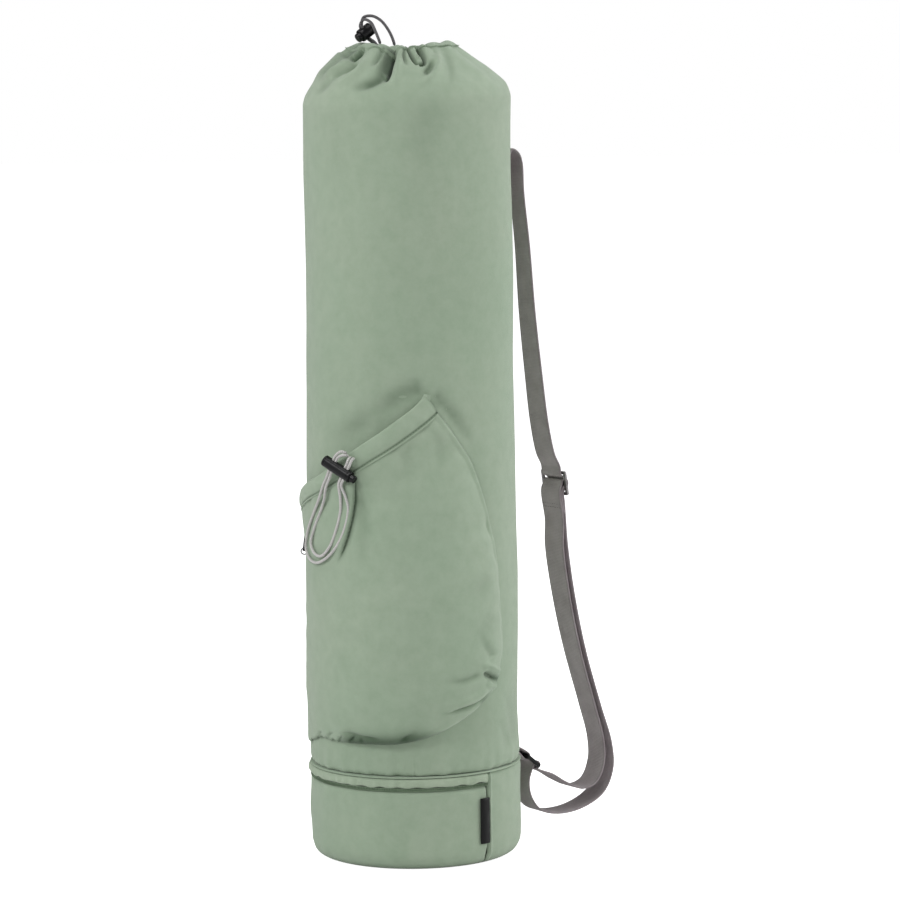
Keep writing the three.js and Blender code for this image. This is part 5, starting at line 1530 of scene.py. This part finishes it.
# Flat webbing with soft rounded edges along a path
def webbingPiece(name, path, replaces, steps):
    line = evenSteps(throughPoints(path, 60 * len(path)), steps)
    along = np.gradient(line, axis=0)
    along /= np.linalg.norm(along, axis=1, keepdims=True)
    half, thick = strap["width"] / 2, strap["thick"] / 2
    across = np.r_[np.linspace(-half + 0.7, half - 0.7, 13)]
    profile = [(place, 1.0) for place in across]
    profile += [(half - 0.25, 0.8), (half, 0.0), (half - 0.25, -0.8)]
    profile += [(place, -1.0) for place in across[::-1]]
    profile += [(-half + 0.25, -0.8), (-half, 0.0), (-half + 0.25, 0.8)]
    places = np.array(profile)
    out = line[:, None, 0] - along[:, None, 1] * thick * places[None, :, 1]
    height = line[:, None, 1] + along[:, None, 0] * thick * places[None, :, 1]
    side = np.broadcast_to(places[None, :, 0], out.shape)
    points = strapPoint(out, height, side)
    length = np.r_[0, np.cumsum(np.linalg.norm(np.diff(line, axis=0), axis=1))]
    turned = np.r_[places[:, 0], places[0, 0]]
    flat = np.stack(np.broadcast_arrays(turned[None, :], length[:, None]), -1)
    made = Cloth(name)
    number = made.grid(points, flat, True)
    made.faces.append(number[0][:-1][::-1].tolist())
    made.uvs.append(flat[0][:-1][::-1])
    made.faces.append(number[-1][:-1].tolist())
    made.uvs.append(flat[-1][:-1])
    made.finish("webbing", replaces=replaces, sharp=60)
    return line


strapLine = webbingPiece("strap_webbing", strapPath(), ["shoulder_strap"], 760)


def tabPath():
    start = bag["gap"] + strap["thick"] / 2
    seam = bag["seamHeight"]
    return [
        (start, seam + 1.6 * strap["thick"]),
        (start + ring["out"] * 0.29, seam + 0.87 * strap["thick"]),
        *roundBar(0, 100, -100, 5),
        (start + ring["out"] * 0.18, seam - 1.67 * strap["thick"]),
        (start, seam - strap["thick"]),
    ]


webbingPiece("ring_tab_webbing", tabPath(), ["ring_tab"], 60)


# Copy of a hard CAD piece with its edges softened
def softened(name, node, material, width, body="bag", limit=30, segments=2):
    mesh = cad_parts[node].data.copy()
    made = bmesh.new()
    made.from_mesh(mesh)
    bmesh.ops.remove_doubles(made, verts=made.verts, dist=1e-6)
    bmesh.ops.dissolve_limit(made, angle_limit=0.02, verts=made.verts, edges=made.edges)
    sharpEdges = [edge for edge in made.edges if edge.is_manifold and edge.calc_face_angle(0) > math.radians(limit)]
    bmesh.ops.bevel(
        made, geom=sharpEdges, offset=width * mm, offset_type="OFFSET", segments=segments, profile=0.6,
        affect="EDGES", clamp_overlap=True,
    )
    bmesh.ops.recalc_face_normals(made, faces=made.faces)
    made.to_mesh(mesh)
    made.free()
    mesh.name = name
    return addPiece(name, mesh, material, body, [node], 35)


softened("strap_slider_metal", "strap_slider", "nickel", 0.45)
softened("strap_ring_plastic", "strap_ring", "ring", 0.9, segments=3)
softened("zip_slider_body", "zip_slider", "black", 0.5)
softened("key_tab_webbing", "key_tab", "ties", 0.5)


# Piece from closed polygon solids that are cut by others
def cutSolid(body, cutters):
    for cutter in cutters:
        change = body.modifiers.new("cut", "BOOLEAN")
        change.object = cutter
        change.operation = "DIFFERENCE"
        change.solver = "EXACT"
    depsgraph = bpy.context.evaluated_depsgraph_get()
    mesh = bpy.data.meshes.new_from_object(body.evaluated_get(depsgraph))
    for thing in [body, *cutters]:
        bpy.data.objects.remove(thing)
    return mesh


def looseObject(name, made):
    mesh = bpy.data.meshes.new(name)
    made.to_mesh(mesh)
    made.free()
    thing = bpy.data.objects.new(name, mesh)
    scene.collection.objects.link(thing)
    return thing


# Round solid about Z from a profile of (radius, height) whose ends lie on the axis
def turnedObject(name, profile, sides):
    made = bmesh.new()
    rings = []
    for radius, height in profile:
        if radius < 1e-6:
            rings.append([made.verts.new((0, 0, height * mm))])
            continue
        turns = np.linspace(0, 2 * math.pi, sides, endpoint=False)
        rings.append([made.verts.new((radius * math.cos(t) * mm, radius * math.sin(t) * mm, height * mm)) for t in turns])
    for low, high in zip(rings, rings[1:]):
        for k in range(sides):
            n = (k + 1) % sides
            corners = [low[k % len(low)], low[n % len(low)], high[n % len(high)], high[k % len(high)]]
            unique = list(dict.fromkeys(corners))
            if len(unique) > 2:
                made.faces.new(unique)
    bmesh.ops.recalc_face_normals(made, faces=made.faces)
    return looseObject(name, made)


def boxObject(name, width, depth, length, centre, rounding):
    made = bmesh.new()
    bmesh.ops.create_cube(made, size=1)
    bmesh.ops.scale(made, vec=(width * mm, depth * mm, length * mm), verts=made.verts)
    upright = [edge for edge in made.edges if abs(edge.verts[0].co.y - edge.verts[1].co.y) > 1e-6]
    bmesh.ops.bevel(made, geom=upright, offset=rounding * mm, segments=4, profile=0.5, affect="EDGES", clamp_overlap=True)
    bmesh.ops.translate(made, vec=(0, 0, centre * mm), verts=made.verts)
    return looseObject(name, made)


def arc(radius, height, size, start, end, count):
    turns = np.radians(np.linspace(start, end, count))
    return [(radius + size * math.cos(turn), height + size * math.sin(turn)) for turn in turns]


# Barrel and plunger of a cord lock, round, with a ribbed waist and rounded rims
def makeLock(names, nodes, lock, place, bodies, ribs):
    radius, length, bore, end = lock["radius"], lock["length"], lock["bore"], lock["end"]
    edge = 0.9
    sides = 56
    outer = [(0, 0), (radius - edge - 0.6, 0.0)]
    outer += arc(radius - edge, edge, edge, -90, 0, 6)
    for height in ribs:
        outer += [(radius, height - 0.55), (radius - 0.35, height - 0.3), (radius - 0.35, height + 0.3), (radius, height + 0.55)]
    outer += arc(radius - edge, length - edge, edge, 0, 90, 6)
    outer += [(bore + 0.35, length), (bore, length - 0.4), (bore, lockSizes["endWall"]), (0, lockSizes["endWall"])]
    barrel = turnedObject("barrel", [(r, h - lock["middle"]) for r, h in outer], sides)
    plug = bore - lockSizes["fit"]
    inner = [(0, lock["start"]), (plug - 0.3, lock["start"]), (plug, lock["start"] + 0.3)]
    inner += arc(plug - 1.1, end - 1.1, 1.1, 0, 78, 6)
    inner += [(plug * 0.5, end - 0.15), (0, end - 0.3)]
    plunger = turnedObject("plunger", [(r, h - lock["middle"]) for r, h in inner], sides)
    for node, thing, longer, fit in ((nodes[0], barrel, 0.0, 0.0), (nodes[1], plunger, lock["travel"], 0.0)):
        cutters = []
        for centre in lock["centres"]:
            size = lock["alongSlot"] + longer
            at = centre + longer / 2 - lock["middle"]
            cutters.append(boxObject("slot", lock["acrossSlot"], 4 * radius, size, at, 1.2))
        mesh = cutSolid(thing, cutters)
        mesh.transform(Matrix.Scale(1.0, 4) @ place_in_metres(place))
        name = names[nodes.index(node)]
        mesh.name = name
        layer = mesh.uv_layers.new(name="UVMap") if not mesh.uv_layers else mesh.uv_layers[0]
        addPiece(name, mesh, "black", bodies[nodes.index(node)], [node], 32)


def place_in_metres(matrix):
    made = matrix.copy()
    made.translation = matrix.translation * mm
    return made


makeLock(
    ("pocket_barrel", "pocket_plunger"),
    ("pocket_lock_barrel", "pocket_lock_plunger"),
    pocketBarrel,
    pocketFrame,
    ("bag", "pocket_plunger"),
    (2.6, pocketBarrel["length"] - 2.6),
)
makeLock(
    ("mouth_barrel", "mouth_plunger"),
    ("mouth_lock_barrel", "mouth_lock_plunger"),
    mouthBarrel,
    mouthFrame,
    ("bag", "mouth_plunger"),
    (2.4,),
)
print("stage: strap and locks")

# Key ring through the eyelet of its tab
keyLoop = {"azimuth": -96.0, "top": 279.0, "length": 19.0, "thick": 2.4, "radius": 2.7, "wire": 0.55, "eyeletWall": 1.0, "slack": 0.1}


def makeKeyRing():
    centreDown = -keyLoop["length"] - keyLoop["eyeletWall"] / 2 + keyLoop["slack"]
    reach = keyLoop["radius"] + keyLoop["wire"] - keyLoop["thick"] / 2
    lean = math.atan(reach / (keyLoop["length"] - keyLoop["radius"]))
    turn = Matrix.Rotation(math.radians(keyLoop["azimuth"]), 4, "Z") @ Matrix.Rotation(-lean, 4, "X")
    place = Vector(around(keyLoop["azimuth"], float(bodyRadius(keyLoop["top"])) + bag["gap"], keyLoop["top"]))
    big = np.linspace(0, 2 * math.pi, 48, endpoint=False)[:, None]
    small = np.linspace(0, 2 * math.pi, 12, endpoint=False)[None, :]
    radius = keyLoop["radius"] + keyLoop["wire"] * np.cos(small)
    points = np.stack(
        np.broadcast_arrays(
            keyLoop["wire"] * np.sin(small), -keyLoop["thick"] / 2 + radius * np.cos(big), centreDown + radius * np.sin(big)
        ),
        -1,
    )
    world = np.array([[list(turn @ Vector(p) + place) for p in row] for row in points])
    made = Cloth("key_ring_wire")
    rows = np.concatenate([world, world[:1]])
    number = np.arange(48 * 12).reshape(48, 12)
    made.places.append(world.reshape(-1, 3))
    for a in range(48):
        for b in range(12):
            c, d = (a + 1) % 48, (b + 1) % 12
            made.faces.append([int(number[a, b]), int(number[c, b]), int(number[c, d]), int(number[a, d])])
            made.uvs.append(np.array([(a, b), (a + 1, b), (a + 1, b + 1), (a, b + 1)], float))
    piece = made.finish("steel", replaces=["key_ring"])
    fixNormals(piece)


def fixNormals(piece):
    made = bmesh.new()
    made.from_mesh(piece.data)
    bmesh.ops.recalc_face_normals(made, faces=made.faces)
    made.to_mesh(piece.data)
    made.free()


makeKeyRing()


# Rows of stitches and zip teeth: a small solid repeated along lines by a node tree
class Repeater:
    def __init__(self, name):
        self.tree = bpy.data.node_groups.new(name, "GeometryNodeTree")
        face = self.tree.interface
        face.new_socket("Geometry", in_out="INPUT", socket_type="NodeSocketGeometry")
        face.new_socket("Geometry", in_out="OUTPUT", socket_type="NodeSocketGeometry")
        self.inputs = {}
        for label in ("Spacing", "Length", "Width", "Height", "Turn"):
            self.inputs[label] = face.new_socket(label, in_out="INPUT", socket_type="NodeSocketFloat").identifier
        self.inputs["Material"] = face.new_socket("Material", in_out="INPUT", socket_type="NodeSocketMaterial").identifier
        self.start = self.tree.nodes.new("NodeGroupInput")
        self.build()

    def node(self, kind, settings, links):
        made = self.tree.nodes.new(kind)
        for key, value in settings.items():
            setattr(made, key, value)
        for key, value in links.items():
            if isinstance(value, bpy.types.NodeSocket):
                self.tree.links.new(value, made.inputs[key])
            else:
                made.inputs[key].default_value = value
        return made

    def build(self):
        given = self.start.outputs
        line = self.node("GeometryNodeMeshToCurve", {}, {"Mesh": given["Geometry"]})
        steps = self.node(
            "GeometryNodeResampleCurve",
            {"mode": "LENGTH"},
            {"Curve": line.outputs["Curve"], "Length": given["Spacing"]},
        )
        tangent = self.node("GeometryNodeInputTangent", {}, {})
        turned = self.node(
            "FunctionNodeAlignRotationToVector", {"axis": "Z"}, {"Vector": tangent.outputs["Tangent"]}
        )
        spin = self.node(
            "FunctionNodeRotateRotation", {"rotation_space": "LOCAL"}, {"Rotation": turned.outputs["Rotation"]}
        )
        angle = self.node("ShaderNodeCombineXYZ", {}, {"X": 0.0, "Y": given["Turn"], "Z": 0.0})
        euler = self.node("FunctionNodeEulerToRotation", {}, {"Euler": angle.outputs["Vector"]})
        self.tree.links.new(euler.outputs["Rotation"], spin.inputs["Rotate By"])
        ball = self.node("GeometryNodeMeshUVSphere", {}, {"Segments": 8, "Rings": 5, "Radius": 0.5})
        size = self.node("ShaderNodeCombineXYZ", {}, {"X": given["Width"], "Y": given["Height"], "Z": given["Length"]})
        copies = self.node(
            "GeometryNodeInstanceOnPoints",
            {},
            {
                "Points": steps.outputs["Curve"],
                "Instance": ball.outputs["Mesh"],
                "Rotation": spin.outputs["Rotation"],
                "Scale": size.outputs["Vector"],
            },
        )
        real = self.node("GeometryNodeRealizeInstances", {}, {"Geometry": copies.outputs["Instances"]})
        painted = self.node(
            "GeometryNodeSetMaterial", {}, {"Geometry": real.outputs["Geometry"], "Material": given["Material"]}
        )
        end = self.tree.nodes.new("NodeGroupOutput")
        self.tree.links.new(painted.outputs["Geometry"], end.inputs["Geometry"])


repeater = Repeater("repeatAlong")


def rowsAlong(name, lines, material, spacing, length, width, height, turn=0.0, body="bag"):
    points = np.vstack(lines)
    edges = []
    first = 0
    for line in lines:
        edges += [(first + k, first + k + 1) for k in range(len(line) - 1)]
        first += len(line)
    mesh = bpy.data.meshes.new(name + "_line")
    mesh.from_pydata((points * mm).tolist(), edges, [])
    holder = bpy.data.objects.new(name + "_line", mesh)
    scene.collection.objects.link(holder)
    change = holder.modifiers.new("repeat", "NODES")
    change.node_group = repeater.tree
    sizes = {"Spacing": spacing * mm, "Length": length * mm, "Width": width * mm, "Height": height * mm, "Turn": turn}
    for key, value in sizes.items():
        change[repeater.inputs[key]] = value
    change[repeater.inputs["Material"]] = finishes[material]
    depsgraph = bpy.context.evaluated_depsgraph_get()
    made = bpy.data.meshes.new_from_object(holder.evaluated_get(depsgraph))
    bpy.data.objects.remove(holder)
    made.name = name
    return addPiece(name, made, material, body, (), 60)


# Line on a grid of points, read between its rows and columns and lifted off it
def onGrid(points, rows, columns, lift=0.0):
    normal = outward(points, False)
    r = np.clip(np.asarray(rows, float), 0, points.shape[0] - 1.001)
    c = np.clip(np.asarray(columns, float), 0, points.shape[1] - 1.001)
    r, c = np.broadcast_arrays(r, c)
    r0, c0 = r.astype(int), c.astype(int)
    fr, fc = (r - r0)[:, None], (c - c0)[:, None]

    def read(grid):
        low = grid[r0, c0] * (1 - fc) + grid[r0, c0 + 1] * fc
        high = grid[r0 + 1, c0] * (1 - fc) + grid[r0 + 1, c0 + 1] * fc
        return low * (1 - fr) + high * fr

    return read(points) + read(normal) * lift


def stitchRows():
    columns = np.linspace(3, hemOut.shape[1] - 4, 400)
    hemRow = onGrid(hemOut, 4.6, columns, 0.12)
    turn = np.linspace(0, casingPoints.shape[1] - 1, 500)
    casingRow = onGrid(casingPoints, 4.6, turn, 0.1)
    rowsAlong("hem_stitches", [hemRow, casingRow], "thread", 2.9, 2.2, 0.5, 0.5)
    anchor = []
    base = strap["anchorHeight"]
    half = strap["anchorLength"] / 2
    flat = 1.5 * bag["gap"] + strap["thick"] + 0.05

    def onAnchor(places):
        dense = evenSteps(np.array(places, float), 40)
        return strapPoint(np.full(40, flat), base + dense[:, 1], dense[:, 0])

    wide, tall = 10.0, half - 3.0
    anchor.append(onAnchor([(-wide, -tall), (wide, -tall), (wide, tall), (-wide, tall), (-wide, -tall)]))
    anchor.append(onAnchor([(-wide, -tall), (wide, tall)]))
    anchor.append(onAnchor([(wide, -tall), (-wide, tall)]))

    def acrossStrap(faces, layers, pitch, tail, lift):
        out, height = atSlider(faces, layers, pitch, tail)
        side = np.linspace(-10.5, 10.5, 24)
        return strapPoint(np.full(24, out + lift), np.full(24, height), side)

    lift = strap["thick"] / 2 + 0.1
    for tail in (0.68, 0.8):
        anchor.append(acrossStrap(-1, -1.23, 0, tail, lift))
        anchor.append(acrossStrap(-1, -2.26, 0, tail, -lift))
    rowsAlong("strap_stitches", anchor, "strapThread", 2.8, 2.2, 0.6, 0.6)


stitchRows()


def zipTeeth():
    azimuth = bandAzimuths(480)
    bottom = compartment["zipBottom"] + bag["gap"]
    middle = (bottom + compartment["flapTop"] - compartment["flapHeight"] - bag["gap"]) / 2
    radius = float(bodyRadius(bottom)) - compartment["zipRecess"] + 0.15
    lines = [around(azimuth, radius, middle + side * 0.5) for side in (-1, 1)]
    rowsAlong("zip_teeth", lines, "coil", 1.5, 0.75, 1.1, 1.5, turn=0.0)


zipTeeth()


# Corner of seam allowance that stands up where the pocket's mouth meets its right seam
cornerFold = {"azimuth": 8.6, "height": 399.5, "out": 3.0, "size": (7.0, 2.4, 7.5), "lean": 14}


def makeCornerFold():
    made = bmesh.new()
    bmesh.ops.create_cube(made, size=1)
    bmesh.ops.subdivide_edges(made, edges=made.edges, cuts=5, use_grid_fill=True)
    wide, deep, tall = cornerFold["size"]
    for vertex in made.verts:
        x, y, z = vertex.co * 2
        taper = 1 - 0.18 * max(z, 0)
        squash = (1 - 0.45 * abs(x) ** 3) * (1 - 0.35 * abs(z) ** 4)
        vertex.co = Vector((x * wide / 2 * taper, y * deep / 2 * squash + 0.5 * math.sin(3 * x + 2 * z), z * tall / 2)) * mm
    turn = Matrix.Rotation(math.radians(cornerFold["azimuth"]), 4, "Z") @ Matrix.Rotation(math.radians(cornerFold["lean"]), 4, "Y")
    place = around(cornerFold["azimuth"], float(bodyRadius(400)) + cornerFold["out"], cornerFold["height"])
    made.transform(Matrix.Translation(Vector(place) * mm) @ turn)
    mesh = bpy.data.meshes.new("pocket_corner_fold")
    made.to_mesh(mesh)
    made.free()
    mesh.uv_layers.new(name="UVMap")
    piece = addPiece("pocket_corner_fold", mesh, "sage", sharp=60)
    fixNormals(piece)


makeCornerFold()

declareCord(outerLine)
declareCord(innerLine)
declareCord(mouthLine)

print("stage: finished")
